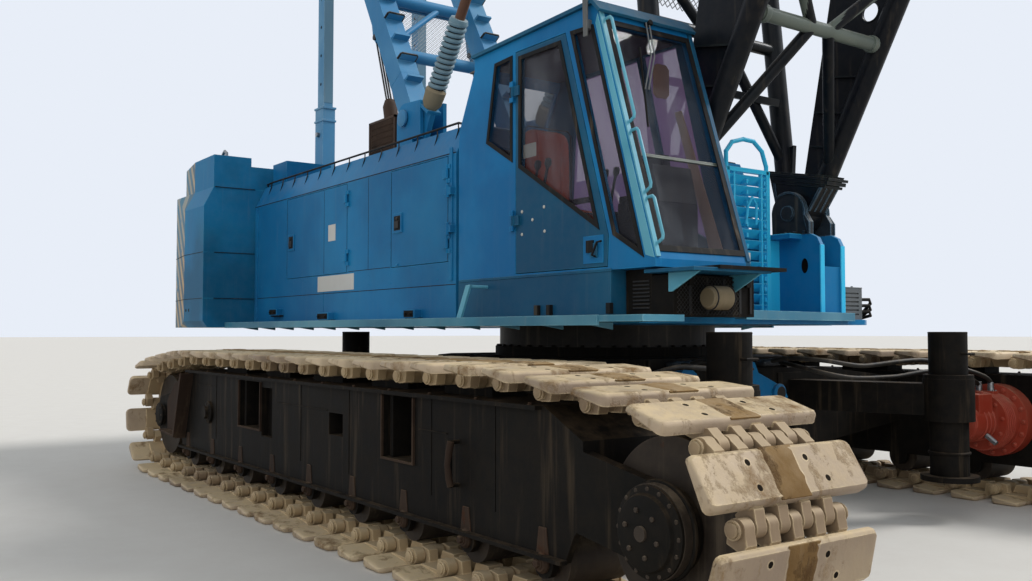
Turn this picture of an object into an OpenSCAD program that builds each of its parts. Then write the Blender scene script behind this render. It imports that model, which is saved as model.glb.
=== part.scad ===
// Lattice boom crawler crane with its basic boom raised, millimetres.
// X points to the front of the crawlers, Y to their left and Z up from the ground.
// All places are measured from the swing axis, and each piece is then moved to the row origin.

/* [Crawlers] */
// Width over both crawlers
overall_w = 6200; // [6000:10:6600]
// Width of a track shoe
shoe_w = 1000; // [900:10:1100]
// Distance from the swing axis to a sprocket or idler axle
axle_x = 3630; // [3400:10:3900]
// Radius of the track pins' path round the sprocket and idler
pin_r = 473; // [450:1:490]
// Pitch of the track pins
shoe_pitch = 355; // [340:1:370]
// Length of a shoe plate along the track
plate_len = 235; // [200:1:260]
// Height of a shoe's ground face below the pins
shoe_h = 95; // [80:1:110]
// Depth of the track links above the pins
link_in = 40; // [30:1:50]
// Height of the pins along the top run
top_run_z = 1150; // [1120:1:1200]
// Half length of the level top run
top_run_x = 2600; // [2300:10:2800]
// Number of lower rollers in a crawler
roller_count = 9; // [7:1:11]
// Radius of a lower roller
roller_r = 140; // [110:1:150]
// Width of a crawler side frame
frame_w = 520; // [480:1:560]
// Height of the side frame's upper face
frame_top_z = 1050; // [1000:1:1070]
// Radius of the final drive hub's cover
hub_r = 205; // [180:1:230]

/* [Carbody] */
// Half length of the centre box
carbody_x = 1350; // [1200:10:1450]
// Underside of the carbody
carbody_z = 470; // [430:10:500]
// Radius of the swing bearing
ring_r = 960; // [900:5:1000]
// Height of the carbody's top, under the swing bearing
ring_z = 1290; // [1270:5:1310]
// Place of a jack along the crane
jack_x = 2550; // [2400:10:2600]
// Place of a jack across the crane
jack_y = 1220; // [1150:10:1300]
// Outer radius of a jack
jack_r = 140; // [120:1:150]
// Top of a jack
jack_top_z = 1410; // [1350:5:1440]
// Underside of a stored jack's foot
jack_foot_z = 290; // [200:5:350]

/* [Upper frame] */
// Underside of the turntable deck
deck_z = 1470; // [1465:1:1490]
// Thickness of the deck plates
deck_t = 40; // [30:1:50]
// Rear end of the deck and of the machinery houses
deck_rear_x = -4120; // [-4200:10:-4000]
// Front end of the deck
deck_front_x = 2280; // [2150:10:2350]
// Half width of the superstructure
house_y = 1720; // [1700:5:1760]
// Distance of each boom foot from the centre plane
foot_y = 720; // [700:5:730]
// Boom foot pin, in front of the swing axis
foot_x = 1580; // [1520:10:1650]
// Height of the boom foot pin
foot_z = 2372; // [2340:1:2400]
// Radius of the boom foot pin
foot_pin_r = 60; // [50:1:70]
// Thickness of a main frame beam
beam_w = 300; // [260:5:320]
// Height of the main frame beams above the deck
beam_h = 420; // [380:5:460]

/* [Machinery houses] */
// Inner wall of a machinery house
house_in_y = 1020; // [980:5:1060]
// Front end of the machinery houses
house_front_x = 180; // [100:10:200]
// Wall thickness of the houses
house_t = 40; // [30:1:50]
// Height where the side wall bends into the roof
eave_z = 2825; // [2780:5:2860]
// Height of the roof
roof_z = 3070; // [3020:5:3100]
// Sill of the side doors
sill_z = 1978; // [1950:1:2000]
// Thickness of a side door
door_t = 30; // [25:1:35]
// Gap round a door
door_gap = 6; // [5:0.5:10]

/* [Counterweight] */
// Half width of the counterweight
cw_y = 2310; // [2250:5:2350]
// Rear face of the counterweight
cw_rear_x = -5640; // [-5700:10:-5500]
// Where the side of the counterweight starts to taper
cw_taper_x = -4800; // [-4900:10:-4700]
// Underside of the counterweight
cw_z = 1463; // [1450:1:1470]
// Lowest seam between the slabs
cw_seam_1 = 1787; // [1750:1:1820]
// Upper seam between the slabs
cw_seam_2 = 2302; // [2250:1:2350]
// Top of the slab stack, where the top block stands
cw_seam_3 = 3040; // [3000:1:3060]
// Height of the top block
cw_top_h = 363; // [320:1:400]
// Gap between two slabs
slab_gap = 8; // [5:1:12]

/* [Gantry] */
// Foot of the front legs
leg_foot_x = -2300; // [-2350:10:-2250]
// Height of the front legs' foot pins
leg_foot_z = 3660; // [3600:10:3700]
// Head of the gantry
head_x = -4330; // [-4400:10:-4250]
// Height of the gantry's head axle
head_z = 7260; // [7100:10:7400]
// Distance of each leg from the centre plane
leg_y = 640; // [600:5:660]
// Place of the rear struts
strut_x = -4545; // [-4600:5:-4500]
// Distance of each rear strut from the centre plane
strut_y = 670; // [650:5:690]
// Section of a front leg
leg_w = 230; // [200:5:260]
// Foot of the rear struts
strut_foot_z = 3000; // [2900:10:3100]
// Top of the outer tube of a rear strut
strut_split_z = 4200; // [4100:10:4400]

/* [Machinery] */
// Rear and front end of the engine block
engine_x0 = -3950; // [-4000:10:-3800]
engine_x1 = -2650; // [-2800:10:-2600]
// Width of the engine block
engine_w = 1800; // [1500:10:1850]
// Top of the engine block
engine_z = 2720; // [2500:10:2800]
// Height of the air intakes on the roof
intake_h = 270; // [200:10:320]
// Length of the silencer box
silencer_l = 580; // [450:10:600]
// Top of the silencer box
silencer_z = 3740; // [3500:10:3750]
// Number of louvres in the silencer box
louvre_n = 9; // [5:1:12]
// Radius of a hydraulic hose
hose_r = 18; // [14:1:20]

/* [Cab] */
// Inner side of the cab
cab_in_y = 870; // [865:1:890]
// Rear wall of the cab
cab_rear_x = 222; // [215:1:240]
// Underside of the cab floor
cab_floor_z = 1810; // [1805:1:1830]
// Thickness of the cab walls
cab_t = 45; // [40:1:50]
// Thickness of the glass
glass_t = 8; // [6:1:10]

/* [Boom] */
// Angle of the boom above the horizon
luff = 79; // [60:1:80]
// Length of the basic boom from foot pin to head shaft
boom_len = 15240; // [14000:10:18000]
// Length of the base section
base_len = 7620; // [7000:10:9000]
// Half depth and half width between the chords
chord_z = 720; // [680:5:740]
// Radius of a chord
chord_r = 84; // [75:1:90]
// Radius of the thick lacing tubes
lace_r = 45; // [38:1:50]
// Length of the tapered foot
taper_len = 2030; // [1900:10:2200]
// Radius of a head sheave
sheave_r = 380; // [340:5:400]
// Distance of the head shaft in front of the boom axis
sheave_off = 740; // [700:5:800]
// Height of the head shaft above the hook block's sheaves
fall_len = 4600; // [3500:50:5500]

/* [Hidden] */
$fn = 48;

blue = "#1f6f9c";
light_blue = "#58b2d6";
dark = "#1d2228";
shoe_tan = "#9c8f7e";
red = "#a33326";
steel = "#8a8d90";

// Row origin: middle of the plan box, on the ground
ux = cos(luff);
uz = sin(luff);
head_shaft_x = foot_x + boom_len * ux + sheave_off * uz;
head_shaft_z = foot_z + boom_len * uz - sheave_off * ux;
front_x = head_shaft_x + sheave_r;
mid_x = (front_x + cw_rear_x) / 2;

// Track path
half_w = overall_w / 2;
cw_top_z = cw_seam_3 + cw_top_h;
shoe_y = half_w - shoe_w / 2;
axle_z = pin_r + shoe_h;
run_dx = top_run_x - axle_x;
run_dz = top_run_z - axle_z;
run_d = sqrt(run_dx * run_dx + run_dz * run_dz);
wrap = atan2(run_dz, run_dx) - acos(pin_r / run_d);
wrap_len = pin_r * (90 + wrap) * PI / 180;
rise_len = sqrt(run_d * run_d - pin_r * pin_r);
path_1 = 2 * axle_x;
path_2 = path_1 + wrap_len;
path_3 = path_2 + rise_len;
path_4 = path_3 + 2 * top_run_x;
path_5 = path_4 + rise_len;
path_len = path_5 + wrap_len;
shoe_count = round(path_len / shoe_pitch);
rise_a = 90 + wrap;
link_clear = 0.3;
wheel_r = pin_r * cos(path_len / shoe_count / pin_r * 90 / PI) - link_in - link_clear;

function turn(cx, a) = [cx + pin_r * sin(a), axle_z - pin_r * cos(a)];
function go(p, a, d) = [p[0] + d * cos(a), p[1] + d * sin(a)];
// Place of a track pin at the distance s along the path, from the rear end of the ground run
function pin_at(s) =
  s < path_1 ? [s - axle_x, axle_z - pin_r] :
  s < path_2 ? turn(axle_x, (s - path_1) / pin_r * 180 / PI) :
  s < path_3 ? go(turn(axle_x, rise_a), rise_a, s - path_2) :
  s < path_4 ? [top_run_x - (s - path_3), top_run_z] :
  s < path_5 ? go([-top_run_x, top_run_z], 360 - rise_a, s - path_4) :
  turn(-axle_x, 360 - rise_a + (s - path_5) / pin_r * 180 / PI);
track_phase = 230;
function pin(i) =
  let (s = (i % shoe_count) * path_len / shoe_count + track_phase) pin_at(s < path_len ? s : s - path_len);
// Point on a shoe: along is its place from the middle of the shoe, out its height outside the pins
function on_shoe(i, along, out) =
  let (a = pin(i), b = pin(i + 1), m = (a + b) / 2, t = (b - a) / norm(b - a))
  [m[0] + along * t[0] + out * t[1], m[1] + along * t[1] - out * t[0]];

// Frames of reference
module from_swing() {
  translate([-mid_x, 0, 0]) children();
}

// Extrudes a profile drawn in X and Z from y0 to y1
module plate_y(y0, y1) {
  translate([0, y1, 0]) rotate([90, 0, 0]) linear_extrude(y1 - y0) children();
}

module both_sides() {
  children();
  mirror([0, 1, 0]) children();
}

// Round bar between two points
module bar(a, b, r, sides = 24) {
  d = b - a;
  translate(a) rotate([0, acos(d[2] / norm(d)), atan2(d[1], d[0])])
    cylinder(h = norm(d), r = r, $fn = sides);
}

module box(lo, hi) {
  translate(lo) cube(hi - lo);
}

module rod_y(x, z, r, y0, y1) {
  translate([x, y1, z]) rotate([90, 0, 0]) cylinder(h = y1 - y0, r = r);
}

// Crawlers
module track_loop() {
  low = shoe_h * 0.45;
  outer = [for (i = [0 : shoe_count - 1], k = [0 : 3])
    on_shoe(i, (k < 2 ? -1 : 1) * plate_len / 2, k == 0 || k == 3 ? low : shoe_h)];
  inner = [for (i = [0 : shoe_count - 1], k = [-1, 1]) on_shoe(i, k * shoe_pitch * 0.44, -link_in)];
  difference() {
    polygon(outer);
    polygon(inner);
  }
}

module track() {
  plate_y(shoe_y - shoe_w / 2, shoe_y + shoe_w / 2) track_loop();
}

module track_left() {
  color(shoe_tan) from_swing() track();
}

module track_right() {
  color(shoe_tan) from_swing() mirror([0, 1, 0]) track();
}

frame_x = 3050;
skirt_t = 40;
skirt_z = 300;
boss_r = 78;
fork_t = 60;
box_z = 450;
rail_h = top_run_z - link_in - link_clear;
// Openings in the outer face of a side frame: from x, to x, from z, to z, depth
frame_pockets = [
  [-1431, -956, 627, 1008, 190],
  [-939, -718, 578, 968, 60],
  [325, 545, 698, 852, 190],
  [1131, 1515, 627, 1018, 190]];
seam_x = 2385;
roller_span = 2 * (frame_x - 250);
function roller_x(i) = -roller_span / 2 + i * roller_span / (roller_count - 1);
module crawler_frame() {
  y0 = shoe_y - frame_w / 2;
  y1 = shoe_y + frame_w / 2;
  profile = [[-frame_x, box_z], [frame_x, box_z], [frame_x + 60, box_z + 80],
    [frame_x + 60, 900], [frame_x - 250, frame_top_z], [250 - frame_x, frame_top_z],
    [-frame_x - 60, 900], [-frame_x - 60, box_z + 80]];
  difference() {
    plate_y(y0, y1) polygon(profile);
    for (p = frame_pockets) let (x0 = p[0], x1 = p[1], z0 = p[2], z1 = p[3], depth = p[4])
      box([x0, y1 - depth, z0], [x1, y1 + 1, z1]);
    box([seam_x - 5, y1 - 8, box_z + 10], [seam_x + 5, y1 + 1, frame_top_z - 30]);
  }
  // Skirts with the bosses that carry the roller axles
  for (y = [y0, y1 - skirt_t])
    plate_y(y, y + skirt_t) union() {
      polygon([[-frame_x + 80, skirt_z], [frame_x - 80, skirt_z], [frame_x, box_z + 10],
        [-frame_x, box_z + 10]]);
      for (i = [0 : roller_count - 1]) translate([roller_x(i), roller_z]) circle(r = boss_r);
    }
  // Flanges along the outer face
  box([60 - frame_x, y1 - 1, skirt_z], [frame_x - 60, y1 + 45, skirt_z + 20]);
  box([260 - frame_x, y1 - 1, frame_top_z - 22], [frame_x - 260, y1 + 45, frame_top_z]);
  // Forks that hold the sprocket and idler axles
  for (y = [y0, y1 - fork_t], s = [-1, 1])
    plate_y(y, y + fork_t) difference() {
      union() {
        translate([s * axle_x, axle_z]) circle(r = 190);
        polygon([[s * (frame_x - 100), 480], [s * axle_x, axle_z - 188], [s * axle_x, axle_z + 188],
          [s * (frame_x - 100), 880]]);
      }
      translate([s * axle_x, axle_z]) circle(r = 90.3);
    }
  // Pull handle
  for (z = [560, 800]) rod_y(2020, z, 12, y1 - 1, y1 + 70);
  translate([2020, y1 + 58, 548]) cylinder(h = 264, r = 14);
  // Rails that carry the top run
  for (x = [-1900 : 950 : 1900])
    box([x - 250, shoe_y - 120, frame_top_z - 5], [x + 250, shoe_y + 120, rail_h]);
}

module crawler_frames() {
  color(dark) from_swing() both_sides() crawler_frame();
}

wheel_w = frame_w - 2 * fork_t - 20;
module sprockets() {
  color("#4a4642") from_swing() both_sides() {
    rod_y(axle_x, axle_z, wheel_r, shoe_y - wheel_w / 2, shoe_y + wheel_w / 2);
    rod_y(axle_x, axle_z, 90, shoe_y - frame_w / 2, shoe_y + frame_w / 2);
    rod_y(axle_x, axle_z, hub_r, shoe_y + frame_w / 2, shoe_y + frame_w / 2 + 60);
  }
}

module idlers() {
  color("#4a4642") from_swing() both_sides() {
    rod_y(-axle_x, axle_z, wheel_r, shoe_y - wheel_w / 2, shoe_y + wheel_w / 2);
    rod_y(-axle_x, axle_z, 90, shoe_y - frame_w / 2, shoe_y + frame_w / 2 + 30);
  }
}

roller_z = axle_z - pin_r + link_in + link_clear + roller_r;
module track_rollers() {
  color("#4a4642") from_swing() both_sides()
    for (i = [0 : roller_count - 1]) {
      x = roller_x(i);
      y0 = shoe_y - frame_w / 2 + skirt_t;
      y1 = shoe_y + frame_w / 2 - skirt_t;
      rod_y(x, roller_z, roller_r, y0 + 20, y1 - 20);
      rod_y(x, roller_z, 45, y0, y1);
    }
}

motor_x = 2350;
motor_z = 680;
motor_r = 300;
pad_h = 246;
module travel_motors() {
  y1 = shoe_y - frame_w / 2;
  color(red) from_swing() both_sides() {
    rod_y(motor_x, motor_z, motor_r, y1 - 130, y1);
    rod_y(motor_x, motor_z, motor_r - 65, y1 - 330, y1 - 130);
    rod_y(motor_x, motor_z, motor_r - 150, y1 - 620, y1 - 330);
    box([motor_x - 130, y1 - 560, motor_z + 60], [motor_x + 130, y1 - 360, motor_z + 230]);
    // Pad of the hose unions
    box([motor_x - 90, y1 - 270, motor_z + 180], [motor_x + 90, y1 - 190, motor_z + pad_h]);
  }
}

// Carbody
beam_x = 1150;
beam_half = 260;
deck_top = deck_z + deck_t;
module carbody() {
  y1 = shoe_y - frame_w / 2;
  cut = 380;
  color(dark) from_swing() {
    translate([0, 0, carbody_z]) linear_extrude(ring_z - 80 - carbody_z)
      polygon([[carbody_x, 1180 - cut], [carbody_x - cut, 1180], [cut - carbody_x, 1180],
        [-carbody_x, 1180 - cut], [-carbody_x, cut - 1180], [cut - carbody_x, -1180],
        [carbody_x - cut, -1180], [carbody_x, cut - 1180]]);
    cylinder_ring(carbody_z + 50, ring_z, ring_r + 40);
    for (s = [-1, 1])
      plate_x(s * beam_x - beam_half, s * beam_x + beam_half)
        polygon([[-y1, 600], [-1180, carbody_z], [1180, carbody_z], [y1, 600], [y1, 1000],
          [1180, 1120], [-1180, 1120], [-y1, 1000]]);
    both_sides() for (s = [-1, 1]) jack_arm(s);
  }
}

module plate_x(x0, x1) {
  translate([x0, 0, 0]) rotate([90, 0, 90]) linear_extrude(x1 - x0) children();
}

module cylinder_ring(z0, z1, r) {
  translate([0, 0, z0]) cylinder(h = z1 - z0, r = r);
}

arm_z = 780;
arm_h = 240;
module jack_arm(s) {
  start = [s * (carbody_x - 150), 800];
  end = [s * jack_x, jack_y];
  difference() {
    union() {
      translate([0, 0, arm_z]) linear_extrude(arm_h) hull_beam(start, end, 110);
      translate([end[0], end[1], arm_z - 40]) cylinder(h = arm_h + 80, r = jack_r + 45);
    }
    translate([end[0], end[1], arm_z - 50]) cylinder(h = arm_h + 100, r = jack_r + 0.3);
  }
}

// Straight strip of half width w between two plan points
module hull_beam(a, b, w) {
  t = (b - a) / norm(b - a);
  n = [-t[1], t[0]] * w;
  polygon([a + n, a - n, b - n, b + n]);
}

module carbody_jacks() {
  color(dark) from_swing() both_sides() for (s = [-1, 1]) {
    translate([s * jack_x, jack_y, jack_foot_z + 40]) cylinder(h = jack_top_z - jack_foot_z - 40, r = jack_r);
    translate([s * jack_x, jack_y, jack_foot_z]) cylinder(h = 40, r = jack_r + 70);
    translate([s * jack_x, jack_y, arm_z + arm_h + 40]) cylinder(h = 30, r = jack_r + 40);
  }
}

// Hydraulic hoses from the carbody to the travel motors, along their middle lines
hose_a = [[1420, 460, 1165], [1500, 458, 1180], [1600, 450, 1200], [1750, 442, 1208], [1880, 450, 1203],
  [1990, 520, 1190], [2060, 630, 1168], [2110, 760, 1152], [2150, 900, 1160], [2190, 1050, 1175],
  [2220, 1200, 1186], [2245, 1350, 1190], [2275, 1500, 1176], [2300, 1650, 1150], [2330, 1800, 1115],
  [2360, 1930, 1082], [2385, 2030, 1050], [2398, 2090, 1015], [2400, 2110, 980], [2400, 2110, 950]];
hose_b = [[1420, 560, 1165], [1500, 555, 1168], [1600, 535, 1158], [1750, 510, 1135], [1880, 540, 1105],
  [1970, 620, 1078], [2030, 740, 1058], [2075, 880, 1053], [2110, 1030, 1055], [2145, 1180, 1060],
  [2175, 1330, 1078], [2205, 1480, 1095], [2230, 1630, 1092], [2255, 1770, 1078], [2275, 1900, 1052],
  [2292, 2010, 1020], [2299, 2080, 990], [2300, 2110, 965], [2300, 2110, 950]];
hose_sides = 10;
// Where the hoses end across the crane, on the motors' pads
hose_end_y = shoe_y - frame_w / 2 - 230;
function last(list) = list[len(list) - 1];
function hose_line(table) = [for (p = table) [p[0], p[1] * hose_end_y / last(table)[1], p[2]]];
function unit(v) = v / norm(v);
function heading(p, i) = unit(p[min(i + 1, len(p) - 1)] - p[max(i - 1, 0)]);
function hose_ring(p, i) =
  let (t = i == 0 ? [1, 0, 0] : i == len(p) - 1 ? [0, 0, -1] : heading(p, i),
    n = unit(cross(t, abs(t[1]) > 0.9 ? [1, 0, 0] : [0, 1, 0])), b = cross(t, n))
  [for (k = [0 : hose_sides - 1]) let (a = k * 360 / hose_sides) p[i] + hose_r * (cos(a) * n + sin(a) * b)];
module hose(p) {
  m = hose_sides;
  n = len(p);
  polyhedron(
    points = [for (i = [0 : n - 1]) each hose_ring(p, i)],
    faces = concat([[for (k = [0 : m - 1]) k]], [[for (k = [m - 1 : -1 : 0]) (n - 1) * m + k]],
      [for (i = [0 : n - 2], k = [0 : m - 1])
        [i * m + k, (i + 1) * m + k, (i + 1) * m + (k + 1) % m, i * m + (k + 1) % m]]));
}

module hose_left_a() {
  color("#161616") from_swing() hose(hose_line(hose_a));
}

module hose_left_b() {
  color("#161616") from_swing() hose(hose_line(hose_b));
}

module hose_right_a() {
  color("#161616") from_swing() mirror([0, 1, 0]) hose(hose_line(hose_a));
}

module hose_right_b() {
  color("#161616") from_swing() mirror([0, 1, 0]) hose(hose_line(hose_b));
}

// Unions that the hoses come out of, on the carbody and on the travel motors
module hose_unions() {
  color(steel) from_swing() both_sides() {
    for (p = [hose_line(hose_a)[0], hose_line(hose_b)[0]])
      translate([carbody_x, p[1], p[2]]) rotate([0, 90, 0]) cylinder(h = p[0] - carbody_x, r = hose_r + 8);
    for (p = [last(hose_line(hose_a)), last(hose_line(hose_b))])
      translate([p[0], p[1], motor_z + pad_h]) cylinder(h = p[2] - motor_z - pad_h, r = hose_r + 8);
  }
}

module swing_bearing() {
  color(steel) from_swing() cylinder_ring(ring_z, deck_z - link_clear, ring_r);
}

// Upper frame
beam_top = deck_top + beam_h;
eye_half = 105;
cheek_t = 40;
pad_gap = 5;
tower_x = -4950;
pedestal_z = 3420;
drum_x = [430, -600, -1500];
drum_z = 2300;
drum_half = 540;
shaft_r = 70;
running = 0.05;

cheek_in = foot_y - eye_half - pad_gap - cheek_t;
cheek_out = foot_y + eye_half + pad_gap;
bracket_z = 2190;
module foot_bracket() {
  // Cheeks either side of the boom foot
  for (y = [cheek_in, cheek_out])
    plate_y(y, y + cheek_t) polygon([[620, deck_top], [1890, deck_top], [1890, 2100], [1860, 2160],
      [1800, bracket_z], [1090, bracket_z], [940, 2257], [620, 2257]]);
  // Inner top plate and its stiffener
  box([1090, cheek_in - 150, bracket_z - 35], [1715, cheek_in + 1, bracket_z]);
  box([1475, cheek_in - 130, deck_top], [1490, cheek_in + 1, bracket_z - 34]);
}

// Castings on the brackets that hold the boom foot pins
module boom_foot_ears() {
  color(dark) from_swing() both_sides() {
    for (y = [cheek_in, cheek_out])
      plate_y(y, y + cheek_t) union() {
        translate([foot_x, foot_z]) circle(r = 165);
        polygon([[1420, bracket_z], [1795, bracket_z], [1795, 2290], [foot_x + 165, foot_z],
          [foot_x - 165, foot_z]]);
      }
    rod_y(foot_x, foot_z, foot_pin_r, cheek_in - 20, cheek_out + cheek_t);
  }
}

module drum_stand(x) {
  for (y = [-drum_half - 50, drum_half + 10])
    plate_y(y, y + cheek_t) difference() {
      union() {
        translate([x, drum_z]) circle(r = 150);
        polygon([[x - 260, deck_top], [x + 260, deck_top], [x + 150, drum_z], [x - 150, drum_z]]);
      }
      translate([x, drum_z]) circle(r = shaft_r + running);
    }
}

module pedestal() {
  y0 = leg_y - leg_w / 2 - pad_gap - cheek_t;
  y1 = leg_y + leg_w / 2 + pad_gap;
  box([leg_foot_x - 160, y0, beam_top - 5], [leg_foot_x + 160, y1 + cheek_t, pedestal_z]);
  for (y = [y0, y1])
    plate_y(y, y + cheek_t) union() {
      translate([leg_foot_x, leg_foot_z]) circle(r = 160);
      polygon([[leg_foot_x - 160, pedestal_z - 5], [leg_foot_x + 330, pedestal_z - 5],
        [leg_foot_x + 330, 3800], [leg_foot_x, leg_foot_z + 160], [leg_foot_x - 160, leg_foot_z]]);
    }
  rod_y(leg_foot_x, leg_foot_z, 50, y0 - 15, y1 + cheek_t + 15);
  // Seat of the backstop
  plate_y(foot_y - 30, foot_y + 30)
    polygon([[leg_foot_x + 150, leg_foot_z - 610], [leg_foot_x + 150, leg_foot_z - 260], at_stop(-20, 85),
      at_stop(-20, -85)]);
  plate_y(foot_y - 85, foot_y + 75)
    polygon([at_stop(-30, 90), at_stop(-30, -90), at_stop(0, -90), at_stop(0, 90)]);
}

module strut_tower() {
  w = strut_low[1] + 5;
  y0 = strut_y - w - pad_gap - 35;
  y1 = strut_y + w + pad_gap;
  box([strut_x - 150, y0, beam_top - 5], [strut_x + 150, y1 + 35, strut_foot_z - 260]);
  for (y = [y0, y1])
    plate_y(y, y + 35) union() {
      translate([strut_x, strut_foot_z]) circle(r = 130);
      translate([strut_x - 130, strut_foot_z - 265]) square([260, 265]);
    }
  rod_y(strut_x, strut_foot_z, 45, y0 - 12, y1 + 47);
}

walk_end_x = house_front_x + 20;
deck_plan = [[deck_rear_x, -house_y], [deck_front_x, -house_y], [deck_front_x, -700], [2050, 700],
  [2050, 900], [1860, 1200], [1300, 1200], [1300, 1500], [walk_end_x, 1500], [walk_end_x, house_y],
  [deck_rear_x, house_y]];
// The beams end inside the boom foot brackets
beam_front_x = 1880;
module turntable_frame() {
  color(blue) from_swing() {
    translate([0, 0, deck_z]) linear_extrude(deck_t) polygon(deck_plan);
    both_sides() {
      box([tower_x, foot_y - beam_w / 2, deck_z + 5], [beam_front_x, foot_y + beam_w / 2, beam_top]);
      foot_bracket();
      pedestal();
      strut_tower();
    }
    for (x = [tower_x, -3300, -2300, 1250])
      box([x, -foot_y, deck_z + 5], [x + 160, foot_y, beam_top - 60]);
    for (x = drum_x) drum_stand(x);
  }
}

// Machinery houses
module house_section(t) {
  polygon([[house_in_y + t, deck_top + (t > 0 ? -1 : 0)], [house_y - t, deck_top + (t > 0 ? -1 : 0)],
    [house_y - t, eave_z - t * 0.4], [house_y - 120 - t * 0.6, roof_z - t], [house_in_y + t, roof_z - t]]);
}

right_rear_door = [-3192, -1750];
right_front_door = [-882, 62];
door_top_z = eave_z - 8;
module door_opening(d) {
  box([d[0] - door_gap, house_y - house_t - 20, sill_z - door_gap],
    [d[1] + door_gap, house_y + 20, door_top_z + door_gap]);
}

house_seams = [-2263];
// Brackets on the outer wall: from x, to x, from z
house_steps = [[-3510, -3290, 1590], [-2270, -2010, 1530], [-540, -350, 1530]];
module house(front) {
  difference() {
    plate_x(deck_rear_x, front) house_section(0);
    plate_x(deck_rear_x + house_t, front - house_t) house_section(house_t);
    door_opening(right_rear_door);
    door_opening(right_front_door);
    for (x = house_seams) box([x - 4, house_y - 6, deck_top + 30], [x + 4, house_y + 1, eave_z - 20]);
  }
  for (b = house_steps) let (x0 = b[0], x1 = b[1], z0 = b[2])
    box([x0, house_y - 1, z0], [x1, house_y + 70, z0 + 70]);
  door_pins(right_rear_door[1] + 15, -1, knuckles);
  door_pins(right_front_door[1] + 15, -1, knuckles);
}

module house_left() {
  color(blue) from_swing() house(house_front_x);
}

module house_right() {
  color(blue) from_swing() mirror([0, 1, 0]) house(house_front_x);
}

// Hinge line of a side door, outside its front edge
hinge_out = 20;
hinge_r = 8;
knuckle_r = 14;
knuckles = [2080, 2640];
module door_knuckles(x, side, zs) {
  for (z = zs) difference() {
    union() {
      translate([x, house_y + hinge_out, z]) cylinder(h = 70, r = knuckle_r);
      box([min(x, x + side * 70), house_y + 2, z], [max(x, x + side * 70), house_y + hinge_out, z + 70]);
      box([min(x + side * 17, x + side * 70), house_y - 1, z],
        [max(x + side * 17, x + side * 70), house_y + 3, z + 70]);
    }
    translate([x, house_y + hinge_out, z - 1]) cylinder(h = 72, r = hinge_r + running);
  }
}

module door_pins(x, side, zs) {
  for (z = zs) {
    translate([x, house_y + hinge_out, z - 40]) cylinder(h = 150, r = hinge_r);
    for (k = [z - 40, z + 75])
      box([min(x, x - side * 40), house_y - 1, k], [max(x, x - side * 40), house_y + hinge_out, k + 35]);
  }
}

module side_door(d) {
  difference() {
    box([d[0], house_y - house_t, sill_z], [d[1], house_y, door_top_z]);
    box([d[0] + 40, house_y - house_t - 1, sill_z + 40], [d[1] - 40, house_y - 12, door_top_z - 40]);
  }
  door_knuckles(d[1] + 15, -1, knuckles);
  box([d[0] + 50, house_y - 13, 2270], [d[0] + 205, house_y + 12, 2440]);
}

module door_right_rear() {
  color(blue) from_swing() mirror([0, 1, 0]) side_door(right_rear_door);
}

module door_right_front() {
  color(blue) from_swing() mirror([0, 1, 0]) side_door(right_front_door);
}

module door_left_rear() {
  color(blue) from_swing() side_door(right_rear_door);
}

module door_left_front() {
  color(blue) from_swing() side_door(right_front_door);
}

module engine() {
  color("#6d6a52") from_swing() box([engine_x0, -engine_w / 2, beam_top],
    [engine_x1, engine_w / 2, engine_z]);
}

hood_front_x = -2480;
module engine_hood() {
  color(blue) from_swing() {
    box([deck_rear_x, -house_in_y, roof_z - house_t], [hood_front_x, house_in_y, roof_z]);
    box([hood_front_x - house_t, -house_in_y, beam_top], [hood_front_x, house_in_y, roof_z - house_t + 1]);
    both_sides() {
      box([deck_rear_x + 20, house_in_y - 40, roof_z], [deck_rear_x + 420, house_y - 200, roof_z + intake_h]);
    }
  }
}

silencer_x = -3100;
silencer_y = -790;
silencer_w = 400;
module silencer_box() {
  color("#5b4334") from_swing() difference() {
    box([silencer_x, silencer_y, roof_z], [silencer_x + silencer_l, silencer_y + silencer_w, silencer_z]);
    for (i = [0 : louvre_n - 1]) {
      z = roof_z + 60 + i * (silencer_z - roof_z - 90) / louvre_n;
      box([silencer_x + 40, silencer_y - 1, z], [silencer_x + silencer_l - 40, silencer_y + 25, z + 22]);
      for (x = [silencer_x - 1, silencer_x + silencer_l - 26])
        box([x, silencer_y + 40, z], [x + 27, silencer_y + silencer_w - 40, z + 22]);
    }
  }
}

// Counterweight
notch_x = tower_x;
notch_y = 930;
module cw_plan(inset) {
  y = cw_y - inset;
  f = deck_rear_x - slab_gap;
  difference() {
    polygon([[f, -y], [cw_taper_x, -y], [cw_rear_x + 130, -y + 120], [cw_rear_x, -y + 330],
      [cw_rear_x, y - 330], [cw_rear_x + 130, y - 120], [cw_taper_x, y], [f, y]]);
    translate([notch_x, -notch_y]) square([1000, 2 * notch_y]);
  }
}

module slab(z0, z1, inset0, inset1) {
  translate([0, 0, z0]) linear_extrude(z1 - z0) cw_plan((inset0 + inset1) / 2);
}

// Lower and upper corners of the stack, as seen from behind
cw_section = [[-cw_y + 54, cw_z - 1], [cw_y - 54, cw_z - 1], [cw_y, cw_z + 75], [cw_y, cw_seam_3 - 220],
  [cw_y - 110, cw_seam_3 + 1], [110 - cw_y, cw_seam_3 + 1], [-cw_y, cw_seam_3 - 220], [-cw_y, cw_z + 75]];
module in_section() {
  intersection() {
    children();
    plate_x(cw_rear_x - 10, deck_rear_x + 10) polygon(cw_section);
  }
}

module counterweight_base() {
  color(blue) from_swing() in_section() slab(cw_z, cw_seam_1, 0, 0);
}

module counterweight_slab() {
  color(blue) from_swing() slab(cw_seam_1, cw_seam_2, 0, 0);
}

module counterweight_upper() {
  color(blue) from_swing() in_section() slab(cw_seam_2, cw_seam_3, 0, 0);
}

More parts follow.
